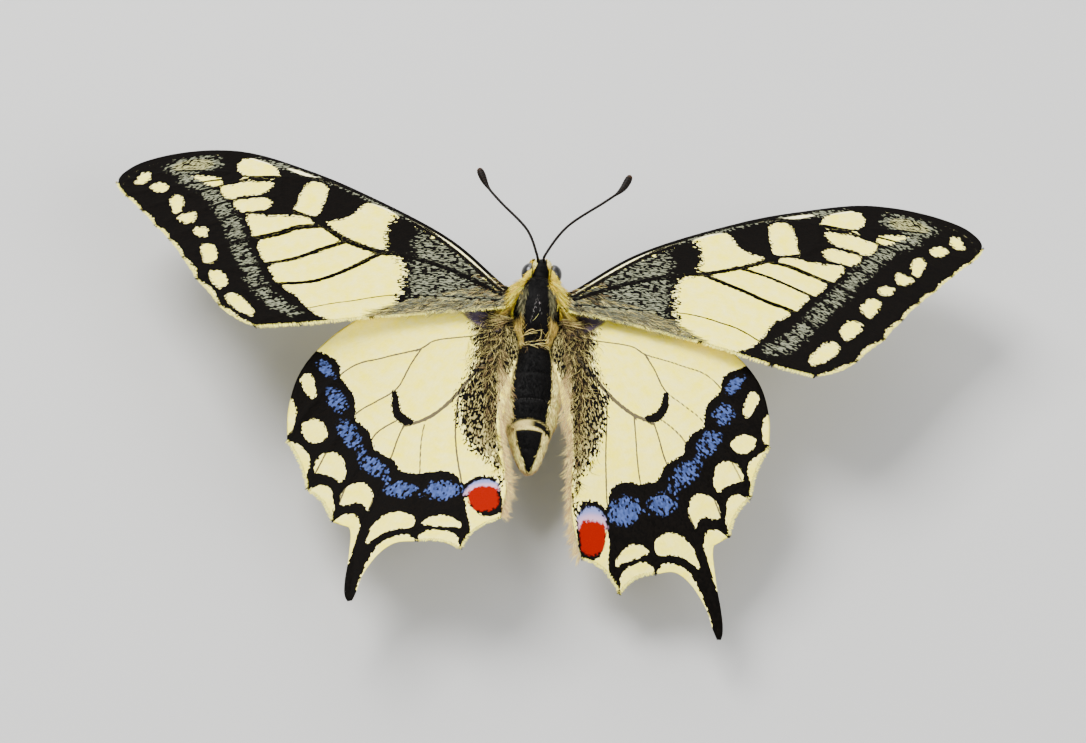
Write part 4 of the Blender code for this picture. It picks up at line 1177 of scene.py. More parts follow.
def build_fur(part, settings, colours):
    """The coat of one stretch of the body, in locks of tufts whose length and lift follow its parts."""
    front, back, seed = COATS[part]
    rng = np.random.default_rng(seed)
    count = getattr(settings, part)
    spots = spots_where(rng, count, front, back, lambda points, normals: outside_eyes(points))
    points, normals = spots[2:]
    y = points[:, 1]
    total = len(y)
    tint = body_tint(points, normals[:, 2], rng.random(total), colours)
    beside = np.abs(off_middle(points)) - np.interp(y, *BAND.T)
    on_back = (1 - smoothstep(-0.15, 0.05, beside)) * smoothstep(0, 0.3, normals[:, 2])
    shiny = on_back * smoothstep(-3.2, -2.2, y)
    long = np.interp(y, *np.transpose(COAT_LENGTH))
    under = 1 - smoothstep(-0.3, 0.3, normals[:, 2])
    length = long * (1 - 0.5 * on_back) * (1 - 0.3 * shiny) * (1 + 0.25 * under) * rng.uniform(0.65, 1.2, total)
    length = length * (1 - 0.6 * np.exp(-(((y + 13.8) / 0.9) ** 2)))
    lock = locks(rng, points, 0.45)
    turn = ragged(rng, lock, 0.20, 0.15)
    along = turned(body_lie(points, normals), normals, turn * (1 - 0.6 * shiny))
    lift = rng.uniform(0.12, 0.40, total) * (1 - 0.55 * on_back) * (1 - 0.5 * shiny)
    width = rng.uniform(0.045, 0.09, total) * settings.width
    bend = ragged(rng, lock, 0.15, 0.08)
    coat = body_tufts(rng, spots, along, tint, length * settings.length, width, lift, bend)
    build_tufts(f"fur_{part}", stretched_map([coat]))


def collar_hair(rng, colours, settings):
    """The long golden hair of the collar, from behind the eyes down the sides to the wing bases."""
    def test(points, normals):
        beside = np.abs(off_middle(points)) - np.interp(points[:, 1], *GOLD_INNER.T)
        return (beside > 0.03) & (normals[:, 2] > -0.25)
    spots = spots_where(rng, 11000, 4.0, -1.4, test)
    points, normals = spots[2:]
    total = len(points)
    lock = locks(rng, points, 0.35)
    side = np.sign(points[:, 0])
    turn = ragged(rng, lock, 0.18, 0.17)
    out = np.interp(points[:, 1], (-1.7, 0.2, 3.7), (1.15, 1.0, 1.15))
    lie = np.stack([side * out, np.full(total, -1.0), np.full(total, 0.1)], axis=1)
    lie = flattened(lie, normals, 0.4)
    length = np.interp(points[:, 1], (-1.7, 0.5, 3.0), (1.75, 1.75, 1.15)) * rng.uniform(0.5, 1.3, total)
    flank = 1 - smoothstep(0.1, 0.7, normals[:, 2])
    chance = rng.random(total)
    tint = blend_tints(
        colours, "gold", (0.55 * smoothstep(0.4, -1.0, points[:, 1]), "buff"),
        (0.5 * smoothstep(0.5, -0.1, normals[:, 2]), "flank"),
        ((chance < 0.22) * 0.6, "cream"), ((chance > 0.84) * 0.75, "hair"),
    )
    tint = streaked(rng, tint, points, 0.26, 0.3, 0.35)
    return body_tufts(
        rng, spots, turned(lie, normals, turn), tint, length * settings.length, rng.uniform(0.04, 0.07, total),
        rng.uniform(0.15, 0.45, total) + 0.45 * flank, by_lock(rng, lock, 0.12),
    )


def brow_hair(rng, colours, settings):
    """Golden hair from the top of the head out over the rear of the eyes, pale at the feelers."""
    def test(points, normals):
        x = np.abs(points[:, 0] - 0.2)
        clear = points[:, 1] + 1.57 * x < 6.15
        return (x > np.interp(points[:, 1], *BAND.T) + 0.08) & (normals[:, 2] > 0.1) & clear
    spots = spots_where(rng, 9000, 5.35, 3.0, test)
    points, normals = spots[2:]
    total = len(points)
    side = np.sign(points[:, 0] - 0.2)
    lock = locks(rng, points, 0.3)
    lie = np.stack([side * 0.8, np.interp(points[:, 1], (3.4, 4.6, 5.1), (-1.0, -0.7, 0.3)), 0 * side], axis=1)
    lie = flattened(lie, normals)
    turn = ragged(rng, lock, 0.15, 0.15)
    length = np.interp(points[:, 1], (3.3, 4.4, 5.2), (1.05, 0.5, 0.35)) * rng.uniform(0.7, 1.15, total)
    front = np.maximum(smoothstep(4.6, 4.85, points[:, 1]), (rng.random(total) < 0.2) * 0.6)
    tint = blend_tints(colours, "gold", (front, "cream"))
    tint = streaked(rng, tint, points, 0.22, 0.25, 0.4)
    return body_tufts(
        rng, spots, turned(lie, normals, turn), tint, length * settings.length, rng.uniform(0.03, 0.055, total),
        rng.uniform(0.25, 0.55, total), by_lock(rng, lock, 0.12),
    )


def lash_hair(rng, colours, settings):
    """Golden hair that lies over the rear and inner part of each eye, out and back."""
    normals = unit(rng.normal(0, 1, (14000, 3)))
    radii = np.array((EYE_BULGE, EYE_RADIUS, EYE_RADIUS))
    side = np.sign(rng.random(14000) - 0.5)
    local = normals * radii + np.array(EYE_BASE)
    keep = (local[:, 1] < LASH_FRONT - LASH_SLANT * (local[:, 0] - 0.8)) & (normals[:, 2] > -0.3) & (local[:, 0] > 0.95)
    local, normals, side = local[keep][:3600], unit(normals / radii)[keep][:3600], side[keep][:3600]
    mirror = np.stack([side, np.ones_like(side), np.ones_like(side)], axis=1)
    points = local * mirror + np.array((HEAD_ASIDE, 0, 0))
    normals = normals * mirror
    total = len(points)
    lie = np.stack([side * 0.75, np.full(total, -1.0), np.zeros(total)], axis=1)
    lie = flattened(lie, normals)
    lock = locks(rng, points, 0.3)
    turn = ragged(rng, lock, 0.15, 0.15)
    tint = blend_tints(colours, "gold", ((rng.random(total) < 0.2) * 0.6, "cream"))
    share = np.interp(-points[:, 1], (-5.9, -3.0), (0.0, 0.15))
    spots = (share, np.arctan2(points[:, 2], points[:, 0]), points, normals)
    return body_tufts(
        rng, spots, turned(lie, normals, turn), tint, rng.uniform(0.45, 0.85, total) * settings.length,
        rng.uniform(0.03, 0.055, total), rng.uniform(0.15, 0.4, total), by_lock(rng, lock, 0.12),
    )


# Curls over the rear of the thorax: (x, y) of the root, heading in degrees, length, bend
CURLS = (
    (-1.3, -3.85, 0, 1.75, 0.05), (-2.4, -4.2, -40, 1.25, 0.35), (-1.65, -4.9, 5, 1.9, -0.1),
    (0.25, -4.85, -8, 1.3, 0.1), (-1.65, -4.0, -65, 1.35, 0.45), (-1.0, -4.6, -10, 1.5, 0.1),
    (1.3, -3.9, -140, 1.2, -0.3), (1.45, -3.2, -100, 1.3, 0.35), (1.15, -4.5, -170, 1.1, 0.4),
    (-1.9, -3.0, -100, 1.5, -0.4), (0.1, -3.6, 150, 0.9, 0.6), (0.6, -4.4, 40, 0.9, 0.5),
)
CURL_LINKS = 5
CURL_RAISED = 0.24


def on_skin(x, y):
    """Places on the upper side of the skin under points of its plan."""
    columns = (np.linspace(0, 1, len(BODY_LINE)), BODY_LINE[:, 1], BODY_LINE[:, 4])
    share, width, aside = (np.interp(-y, -BODY_LINE[:, 0], column) for column in columns)
    angle = np.arccos(np.clip((x - aside) / width, -0.98, 0.98))
    return [share, angle, *body_frame(share, angle)]


def strand_tint(rng, total, colours, dark, pale):
    """Mixed strands: shares of black and of cream ones among brown and buff."""
    chance = rng.random(total)
    return blend_tints(
        colours, "hair", ((rng.random(total) < 0.4) * 0.6, "buff"), ((chance < dark) * 0.95, "black"),
        ((chance > 1 - pale) * 0.9, "cream"),
    )


def curly_hair(rng, colours, settings):
    """Pale curls over the rear of the thorax, each a chain of links, with finer ones among them."""
    x, y, heading, length, bend = np.array(CURLS + CURLS[:5]).T
    count, links = len(x), CURL_LINKS
    curls = (x, y, np.radians(heading), length / links, bend * 1.5 / links)
    x, y, heading, length, bend = np.repeat(curls, links, axis=1)
    turning = heading + bend * np.tile(np.arange(links), count) + np.repeat(rng.normal(0, 0.3, count), links)
    ahead = lie_of(turning).reshape(-1, links, 2) * length.reshape(-1, links, 1)
    ahead = (np.cumsum(ahead, axis=1) - ahead).reshape(-1, 2)
    start = np.repeat(rng.normal(0, 0.12, (count, 2)), links, axis=0)
    total = count * links
    spots = on_skin(x + ahead[:, 0] + start[:, 0], y + ahead[:, 1] + start[:, 1])
    spots[2] = spots[2] + CURL_RAISED * spots[3]
    lie = flattened(np.stack([np.cos(turning), np.sin(turning), 0 * turning], axis=1), spots[3])
    tint = blend_tints(colours, "buff", (np.full(total, 0.75), "cream"))
    named = body_tufts(rng, spots, lie, tint, length * 1.6, np.full(total, 0.05), np.zeros(total), bend)
    spots = spots_where(rng, 320, -2.6, -5.4, lambda points, normals: normals[:, 2] > 0.3)
    total = len(spots[0])
    lie = turned(body_lie(*spots[2:]), spots[3], rng.normal(0, 0.9, total))
    fine = body_tufts(
        rng, spots, lie, strand_tint(rng, total, colours, 0.6, 0.12), rng.uniform(0.6, 1.5, total) * settings.length,
        rng.uniform(0.02, 0.035, total), rng.uniform(0.2, 0.45, total), rng.normal(0, 0.8, total),
    )
    return named, fine


def flank_hair(rng, colours, settings):
    """Dark and buff hair that runs from the sides of thorax and abdomen out over the wing bases, and a pale lock."""
    def test(points, normals):
        middle = np.interp(points[:, 1], (-5.6, -4.6, -3.8), (-0.15, 0.05, -0.05))
        return np.abs(normals[:, 2] - middle) < 0.38
    spots = spots_where(rng, 9000, -1.2, -7.2, test)
    points, normals = spots[2:]
    total = len(points)
    side = np.sign(points[:, 0])
    lock = locks(rng, points, 0.3)
    back = np.interp(points[:, 1], (-7.2, -5.2, -3.5, -2.2, -1.4), (-2.2, -1.3, -0.8, -0.15, -0.1))
    lie = np.stack([side, back, np.full(total, 0.15)], axis=1)
    lie = flattened(lie, normals, 0.75)
    turn = ragged(rng, lock, 0.25, 0.16)
    length = np.interp(points[:, 1], (-7.2, -5.2, -3.5, -2.0), (1.1, 1.5, 1.9, 2.2)) * rng.uniform(0.5, 1.15, total)
    flank = body_tufts(
        rng, spots, turned(lie, normals, turn), strand_tint(rng, total, colours, 0.62, 0.12), length * settings.length,
        rng.uniform(0.028, 0.05, total), rng.uniform(0.05, 0.3, total), ragged(rng, lock, 0.3, 0.2),
    )
    total = 260
    side = np.sign(rng.random(total) - 0.5)
    roots = (side * rng.uniform(2.1, 3.1, total), rng.normal(-1.95, 0.14, total), rng.normal(1.0, 0.1, total))
    roots = np.stack(roots, axis=1)
    spots = (np.full(total, 0.32), np.arctan2(roots[:, 2], roots[:, 0]), roots, np.tile((0.0, 0.0, 1.0), (total, 1)))
    lie = unit(np.stack([side, rng.normal(-0.1, 0.2, total), rng.normal(0.03, 0.07, total)], axis=1))
    streak = body_tufts(
        rng, spots, lie, strand_tint(rng, total, colours, 0.3, 0.35), rng.uniform(0.9, 2.1, total),
        rng.uniform(0.03, 0.055, total), rng.uniform(0.0, 0.15, total), rng.normal(0, 0.12, total),
    )
    return flank, streak


def build_collar(settings, colours):
    """The long hair of the body: collar, brows, curls and the hair over the wing bases."""
    rng = np.random.default_rng(31)
    coats = [made(rng, colours, settings) for made in (collar_hair, brow_hair, lash_hair)]
    coats += [*curly_hair(rng, colours, settings), *flank_hair(rng, colours, settings)]
    build_tufts("fur_collar", stretched_map(coats))


def skin_material(name):
    """Bare skin under the coat: the painted colour, a fine grain and short flat hairs as bump."""
    material, tree = new_material(name, specular_ior_level=0.04)
    spots = grain(tree, 9000.0, 3.0)
    hairs = grain(tree, 1.0, stretch=(14000.0, 2200.0, 14000.0))
    dress(tree, shaded(attribute(tree, "tint", "Color"), spots * 0.9 + 0.35), spots * 0.5 + 0.2, hairs, 0.7, 0.00008)
    return material


def fur_material(name):
    """Hair and scale tufts: the painted colour with a little cloud in it, and a soft sheen."""
    material, tree = new_material(name, specular_ior_level=0.025)
    cloud = grain(tree, 2500.0)
    dress(tree, shaded(attribute(tree, "tint", "Color"), cloud * 0.5 + 0.75), cloud * 0.3 + 0.38)
    return material


def horn_material(name, colours, rough=0.3):
    """Hard dark skin of feelers, legs and mouth: dark with paler joints from the ring attribute, a fine grain."""
    material, tree = new_material(name, specular_ior_level=0.07)
    spots = grain(tree, 6000.0, 3.0)
    colour = mix(attribute(tree, "ring") * (spots * 0.8 + 0.5), colours.black, colours.horn)
    dress(tree, shaded(colour, spots + 0.5), spots * 0.35 + (rough - 0.1), spots, 0.5, 0.00004)
    return material


# ---------------------------------------------------------------- eyes, feelers, mouth

HEAD_ASIDE = 0.23
EYE_BASE = (1.15, 4.2, 0.35)
EYE_RADIUS = 1.04
EYE_BULGE = 0.9
EYE_TUCK = 0.35
# Hair covers an eye behind a slanting line: where the line starts, and how fast it falls back outwards
LASH_FRONT = 4.4
LASH_SLANT = 1.45


def build_eye(word, side, colours):
    """A dome bulge*cos(a) out and radius*sin(a) round, whose inner half is flattened into the head."""
    rings, columns = 60, 90
    angle = np.linspace(0.03, math.pi - 0.03, rings)[:, None]
    turn = np.arange(columns)[None] * 2 * math.pi / columns
    outward = np.cos(angle) * EYE_BULGE * np.where(angle < math.pi / 2, 1.0, EYE_TUCK)
    x = np.broadcast_to(outward, (rings, columns))
    y = EYE_RADIUS * np.sin(angle) * np.cos(turn)
    z = EYE_RADIUS * np.sin(angle) * np.sin(turn)
    points = np.stack([x, y, z], axis=-1).reshape(-1, 3) + np.array(EYE_BASE)
    points = with_ends(points, rings, columns) * np.array((side, 1, 1)) + np.array((HEAD_ASIDE, 0, 0))
    quads, fans = closed_grid(rings, columns)
    if side > 0:
        quads, fans = quads[:, ::-1], fans[:, ::-1]
    rim = np.concatenate([np.broadcast_to(smoothstep(0.38, 0.48, angle / math.pi), (rings, columns)).ravel(), [0, 1]])
    piece = make_piece(
        f"eye_{word}_dome", points, [quads[:, ::-1], fans[:, ::-1]], [eye_material(f"eye_{word}", colours)],
        values={"ring": rim},
    )
    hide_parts(f"eye_{word}")


def eye_material(name, colours):
    """A dark glossy eye with fine facets, mottled, and greyer towards its rim."""
    material, tree = new_material(name, specular_ior_level=0.3, coat_weight=0.35, coat_roughness=0.1)
    place = node(tree, "ShaderNodeTexCoord")["Object"]
    facets = node(tree, "ShaderNodeTexVoronoi", ("Vector", place), ("Scale", 22000.0), ("Randomness", 0.3))[0]
    colour = mix(attribute(tree, "ring") * grain(tree, 2600.0), colours.eye, colours.eye_rim)
    dress(tree, colour, facets * 0.2 + 0.18, facets, 0.25, 0.00002)
    return material


def tube_points(path, radii, columns, flat=1.0, helper=(0.0, 0.0, 1.0)):
    """Rings across a path, flattened by a share on their upward axis, with the middles of both ends."""
    along = unit(np.gradient(path, axis=0))
    across = unit(np.cross(along, np.array(helper)))
    upward = np.cross(across, along)
    turn = np.arange(columns) * 2 * math.pi / columns
    ring = np.cos(turn)[None, :, None] * across[:, None] + flat * np.sin(turn)[None, :, None] * upward[:, None]
    points = (path[:, None] + ring * radii[:, None, None]).reshape(-1, 3)
    return with_ends(points, len(path), columns)


Tube = namedtuple("Tube", "path radii ring")


def build_tubes(name, slot, tubes, material, columns=16, replaced=(), **shape):
    """One piece of closed tubes, whose maps lie in strips side by side; ring marks paler stretches of a tube."""
    sizes = np.array([len(tube.path) * tube.radii.max() for tube in tubes])
    edges = np.concatenate([[0.0], np.cumsum(sizes / sizes.sum())])
    points, quads, fans, rings, quad_uvs, fan_uvs, start = [], [], [], [], [], [], 0
    for tube, low, high in zip(tubes, edges[:-1], edges[1:]):
        made = tube_points(tube.path, tube.radii, columns, **shape)
        made[:, 2] = np.maximum(made[:, 2], -THORAX_AT[2])
        sides, ends = closed_grid(len(tube.path), columns)
        uv = closed_uv(len(tube.path), columns, sides, ends) * np.array((1, high - low)) + np.array((0, low))
        share = np.repeat(tube.ring, columns)
        points.append(made)
        quads.append(sides + start)
        fans.append(ends + start)
        rings += [share, share[:1], share[-1:]]
        quad_uvs.append(uv[: sides.size])
        fan_uvs.append(uv[sides.size:])
        start += len(made)
    piece = make_piece(
        name, np.concatenate(points), [np.concatenate(quads), np.concatenate(fans)], [material],
        values={"ring": np.concatenate(rings)}, uvs={"OFBake": np.concatenate(quad_uvs + fan_uvs)},
    )
    if replaced:
        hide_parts(*replaced)
    return piece


ANTENNAE = {
    "left": ((-0.42, 5.5, 2.05), (-1.6, 8.0, 2.6), (-4.4, 10.9, 2.8), (-5.9, 12.9, 2.6), (-6.9, 14.9, 2.8)),
    "right": ((0.5, 5.5, 2.05), (2.5, 8.7, 2.6), (6.2, 12.0, 2.8), (7.7, 13.7, 2.6), (8.5, 15.4, 2.8)),
}
ANTENNA_SOCKETS = {"left": (-0.22, 4.95, 1.2), "right": (0.42, 4.95, 1.2)}
ANTENNA_RADIUS = 0.135
ANTENNA_RINGS = 44
CLUB_RADIUS = 0.38
CLUB_SHARE = 0.22
# Where along the club it is thickest, and the square of the length over which it rounds off
CLUB_PEAK = 0.72
CLUB_ROUNDING = 0.0785


def build_antennae(colours):
    """Ringed feelers: radius = thin + (club - thin)*swell, drawn in between rings by up to 12% of it."""
    for word, knots in ANTENNAE.items():
        path = resampled(smooth_through((ANTENNA_SOCKETS[word], *knots), 0.1), 420)
        share = np.linspace(0.0, 1.0, len(path))
        club = np.clip((share - (1 - CLUB_SHARE)) / CLUB_SHARE, 0.0, 1.0)
        swell = np.sin(np.minimum(club / CLUB_PEAK, 1) * math.pi / 2) ** 1.6
        swell = swell * np.sqrt(np.clip(1 - np.maximum(club - CLUB_PEAK, 0) ** 2 / CLUB_ROUNDING, 0.02, 1))
        radii = ANTENNA_RADIUS + (CLUB_RADIUS - ANTENNA_RADIUS) * swell
        wave = np.abs(np.sin(share * ANTENNA_RINGS * math.pi))
        radii = radii * (1.04 - 0.12 * (1 - wave) ** 3)
        radii[-8:] = radii[-9] * np.sqrt(np.linspace(1, 0.04, 8))
        ring = (1 - wave) ** 4 * 0.16 + 0.25 * smoothstep(0.96, 1.0, share)
        build_tubes(
            f"antenna_{word}_ringed", "antenna", [Tube(path, radii, ring)],
            horn_material(f"antenna_{word}", colours, rough=0.35), columns=20, replaced=[f"antenna_{word}"], flat=0.85,
        )


PALP = ((0.9, 5.4, -1.95), (0.95, 6.05, -1.75), (0.9, 6.35, -1.2), (0.75, 6.3, -0.55))
PALP_RADII = (0.26, 0.1)
PALP_TUFTS = 700
PROBOSCIS_CENTRE = (0.0, 6.3, -2.8)
PROBOSCIS_COIL = 1.42
PROBOSCIS_PITCH = 0.58
PROBOSCIS_TURNS = 2.15
PROBOSCIS_RADII = (0.21, 0.12)
PROBOSCIS_RINGS = 18


def tube_tufts(tube, count, tint_of, length, width, seed, lift=0.35, strip=(0.0, 1.0)):
    """Tufts over a tube, that lie along it towards its far end; strip is the stretch of the map that they take."""
    rng = np.random.default_rng(seed)
    path, last = tube.path, len(tube.path) - 1
    at = rng.uniform(0.02, 0.98, count) * last
    step = np.arange(last + 1)
    along = unit(np.gradient(path, axis=0))
    spot, lie = (np.stack([np.interp(at, step, column) for column in a.T], axis=1) for a in (path, along))
    lie = unit(lie)
    across = unit(np.cross(lie, np.array((0.3, 0.1, 1.0))))
    turn = rng.uniform(0, 2 * math.pi, count)
    normals = across * np.cos(turn)[:, None] + np.cross(across, lie) * np.sin(turn)[:, None]
    roots = spot + normals * np.interp(at, step, tube.radii)[:, None] * 0.9
    roots[:, 2] = np.maximum(roots[:, 2], -THORAX_AT[2] + 0.06)
    tint = tint_of(normals, rng.random(count))
    tint = np.clip(tint * (1 + rng.normal(0, 0.15, (count, 1))), 0.002, 1)
    rise = rng.uniform(0.5, 1.2, count) * lift
    places = np.stack([at / last, strip[0] + (strip[1] - strip[0]) * turn / (2 * math.pi)], axis=1)
    return TuftSet(
        places, roots, turned(lie, normals, rng.normal(0, 0.25, count)), normals, tint,
        rng.uniform(0.7, 1.2, count) * length, rng.uniform(0.7, 1.2, count) * width, rise, rise * 0.6,
        rng.normal(0, 0.15, count),
    )


def palp_tint(colours):
    """Pale hair with black among it on the face of a palp."""
    def tint(normals, chance):
        return blend_tints(colours, "gold", (((chance > 0.6) & (normals[:, 1] > 0)) * 1.0, "black"))
    return tint


def build_mouth(colours):
    """Upturned palps with their brush of hair, and the proboscis coiled as a spiral between them."""
    for word, side in SIDES.items():
        path = resampled(smooth_through(np.array(PALP) * np.array((side, 1, 1)), 0.1), 60)
        palp = Tube(path, np.linspace(*PALP_RADII, 60), np.zeros(60))
        build_tubes(
            f"palp_{word}_skin", "palp", [palp], horn_material(f"palp_{word}", colours),
            replaced=[f"palp_{word}"], helper=(1.0, 0.0, 0.0),
        )
        hair = tube_tufts(palp, PALP_TUFTS, palp_tint(colours), 0.42, 0.07, seed=40 + side)
        build_tufts(f"palp_{word}_hair", [hair])
    turn = np.linspace(0.0, PROBOSCIS_TURNS * 2 * math.pi, 420)
    reach = PROBOSCIS_COIL - PROBOSCIS_PITCH * turn / (2 * math.pi)
    path = np.stack([0 * turn, reach * np.sin(turn), reach * np.cos(turn)], axis=1) + np.array(PROBOSCIS_CENTRE)
    wave = np.abs(np.sin(turn * PROBOSCIS_RINGS))
    radii = np.linspace(*PROBOSCIS_RADII, len(turn)) * (0.96 + 0.05 * wave)
    build_tubes(
        "proboscis_coil", "proboscis", [Tube(path, radii, (1 - wave) ** 3)],
        horn_material("proboscis", colours, rough=0.28), columns=14, replaced=["proboscis"], helper=(1.0, 0.0, 0.0),
    )


# ---------------------------------------------------------------- legs

LEGS = {
    "fore": ((1.15, 1.9, 5.0), (4.3, 3.3, 5.9), (5.5, 6.2, 2.9), (7.2, 9.2, 0.19)),
    "mid": ((1.5, -0.9, 4.75), (6.0, -0.4, 6.0), (9.0, -1.4, 2.6), (12.0, -2.6, 0.19)),
    "hind": ((1.4, -3.1, 4.9), (5.2, -6.3, 6.3), (7.4, -10.4, 2.7), (9.2, -14.2, 0.19)),
}
TARSUS_KNOTS = ((0.0, 0.0, 0.0), (0.5, 0.5, 0.95), (0.72, 0.72, 1.0), (1.0, 1.0, 1.0))
TARSUS_JOINTS = (0.0, 0.34, 0.52, 0.68, 0.82, 1.0)
SPUR = 0.75
CLAW = 0.5
# Scales of femur, tibia and tarsus: count, share of pale ones, length, width, seed, lift, strip of the map
LEG_SCALES = (
    (520, 0.9, 0.42, 0.075, 60, 0.22, (0.0, 0.32)),
    (420, 0.5, 0.34, 0.07, 61, 0.25, (0.34, 0.65)),
    (360, 0.3, 0.26, 0.06, 62, 0.2, (0.67, 1.0)),
)
CLAW_KNOTS = ((-0.2, 0.05, -0.03), (0.35, 0.3, 0.06), (0.75, 0.42, -0.02), (0.95, 0.45, -0.13))


def leg_tint(colours, pale):
    """Black scales, and pale ones among them on the under side."""
    def tint(normals, chance):
        under = smoothstep(-0.2, 0.5, -normals[:, 2]) * pale
        return blend_tints(colours, "black", (under * (chance > 0.3), "cream"))
    return tint


def spur_tubes(ankle, run):
    """Two thin cones at the end of a tibia."""
    share = np.linspace(0.0, 1.0, 24)
    across = unit(np.cross(run, np.array((0.0, 0.0, 1.0))))
    start = ankle - run * 0.15
    tips = [ankle + unit(run + way * 0.5 * across) * SPUR for way in (-1, 1)]
    return [Tube(start + (tip - start) * share[:, None], 0.07 * (1 - share) ** 0.6 + 0.012, 0 * share) for tip in tips]


def claw_tubes(toe, ahead):
    """Two small hooked claws at the end of a foot."""
    aside = np.cross(ahead, np.array((0.0, 0.0, 1.0)))
    share = np.linspace(0.0, 1.0, 30)
    made = []
    for way in (-1, 1):
        knots = [toe + (ahead * out + way * aside * wide) * CLAW + np.array((0, 0, up)) for out, wide, up in CLAW_KNOTS]
        made.append(Tube(resampled(smooth_through(knots, 0.05), 30), 0.06 * (1 - share) ** 0.7 + 0.008, 0 * share))
    return made


def foot_tube(ankle, toe):
    """The tarsus: down from the ankle, then along the floor, drawn in at each joint."""
    path = resampled(smooth_through([ankle + (toe - ankle) * np.array(knot) for knot in TARSUS_KNOTS], 0.1), 200)
    path[:, 2] = np.maximum(path[:, 2], -THORAX_AT[2] + 0.15)
    share = np.linspace(0.0, 1.0, 200)
    joint = np.min([np.abs(share - at) for at in TARSUS_JOINTS[1:-1]], axis=0)
    foot = (0.17 - 0.03 * share) * (1 - 0.25 * np.exp(-((joint / 0.012) ** 2)))
    foot[-6:] = foot[-7] * np.sqrt(np.linspace(1, 0.05, 6))
    return Tube(path, foot, 0.7 * np.exp(-((joint / 0.015) ** 2)))


def build_leg(pair, word, colours):
    """Femur, tibia with two spurs, and a tarsus of five joints that ends in claws, with scales along them."""
    joints = np.array(LEGS[pair]) * np.array((SIDES[word], 1, 1)) - np.array((0, 0, THORAX_AT[2]))
    hip, knee, ankle, toe = joints
    name = f"{pair}_{word}"
    share = np.linspace(0.0, 1.0, 60)
    thigh = 0.2 + 0.13 * np.sin(math.pi * share**0.8)
    shin = 0.15 + 0.04 * smoothstep(0.0, 0.1, share) + 0.05 * smoothstep(0.6, 1.0, share)
    femur = Tube(hip + (knee - hip) * share[:, None], thigh, 0.6 * smoothstep(0.94, 1.0, share))
    tibia = Tube(knee + (ankle - knee) * share[:, None], shin, 0.5 * (1 - smoothstep(0.0, 0.06, share)))
    ahead = unit((toe - ankle) * np.array((1, 1, 0)))
    parts = {
        "femur": [femur],
        "tibia": [tibia, *spur_tubes(ankle, unit(ankle - knee))],
        "tarsus": [foot_tube(ankle, toe), *claw_tubes(toe, ahead)],
    }
    horn = horn_material(f"leg_{name}", colours)
    for part, tubes in parts.items():
        build_tubes(f"{part}_{name}_skin", "leg", tubes, horn, 20, [f"{part}_{name}"])
    scales = [
        tube_tufts(tubes[0], count, leg_tint(colours, pale), *shape, strip=strip)
        for tubes, (count, pale, *shape, strip) in zip(parts.values(), LEG_SCALES)
    ]
    build_tufts(f"leg_{name}_scales", scales)


# ---------------------------------------------------------------- wing hair and fringe

def wing_hair_set(rng, name, spots, lie, length, width, lift, sag, bend, tint):
    """Tufts on the upper side of a wing, with spots and lie in its plan; the map takes the box of its kind."""
    pose = WING_POSES[name]
    points = wing_surface(spots, pose)
    out, ahead, up = wing_axes(spots, pose)
    along = unit(out * lie[:, :1] + ahead * lie[:, 1:])
    low, high = np.array(HAIR_BOXES[name[:4]])
    places = np.clip((spots - low) / (high - low), 0, 1)
    tint = np.clip(tint * (1 + rng.normal(0, 0.14, (len(spots), 1))), 0.002, 1)
    return TuftSet(places, points + up * 0.05, along, up, tint, length, width, lift, sag, bend)


def edge_cilia(rng, name, ends, depths, spacing, length, colours):
    """Fringe scales along a scalloped margin: pale in each hollow, and black at the vein ends."""
    line = scalloped(ends, depths, step=spacing)
    run = unit(np.gradient(line, axis=0))
    out = np.stack([-run[:, 1], run[:, 0]], axis=1)
    spots = line - out * rng.uniform(0.0, 0.18, (len(line), 1)) + rng.normal(0, 0.02, line.shape)
    near = np.linalg.norm(line[:, None] - np.array(ends)[None], axis=2).min(axis=1)
    dark = (1 - smoothstep(0.1, 0.45, near)) * (rng.random(len(line)) < 0.8)
    tint = blend_tints(colours, "pale", (dark, "black"))
    count = len(line)
    lie = unit(out + rng.normal(0, 0.16, (count, 2)))
    zero = np.zeros(count)
    return wing_hair_set(
        rng, name, spots, lie, length * rng.uniform(0.7, 1.15, count), rng.uniform(0.06, 0.10, count), zero,
        rng.normal(0, 0.08, count), rng.normal(0, 0.08, count), tint,
    )


def scattered(rng, corners, count):
    """Seeded places inside a closed shape of the plan."""
    corners = np.array(corners, float)
    spots = rng.uniform(corners.min(axis=0), corners.max(axis=0), (count * 4, 2))
    return spots[depth_inside(spots, corners) > 0][:count]


FORE_HAIR_AREA = ((-0.8, 1.0), (1.2, 2.4), (2.6, 3.0), (3.2, 1.0), (3.0, -1.0), (1.0, -1.6), (-0.8, -1.2))
FORE_MARGIN_HAIR = (
    (-0.5, 0.6), (3.0, 0.5), (7.0, -0.6), (11.0, -2.6), (13.5, -4.2), (13.6, -4.7), (5.0, -2.7), (-0.5, -1.6),
)
HIND_HAIR_AREA = (
    (0.5, 1.2), (3.5, 1.6), (4.8, -2.0), (5.2, -7.0), (5.4, -11.0), (4.8, -14.5), (3.4, -17.0), (2.0, -19.0),
    (2.2, -15.0), (2.5, -9.0), (2.3, -5.0), (1.3, -2.0),
)
# Fringes of each kind of wing: the margin's points and scallops, their spacing and length
FRINGES = {
    "fore": ((FORE_VEIN_ENDS, FORE_SCALLOPS, 0.03, 0.2), (FORE_INNER, (0.0,) * 4, 0.05, 0.5)),
    "hind": ((HIND_VEIN_ENDS, HIND_SCALLOPS, 0.035, 0.32), (HIND_INNER_ENDS, HIND_INNER_SCALLOPS, 0.035, 0.3)),
}
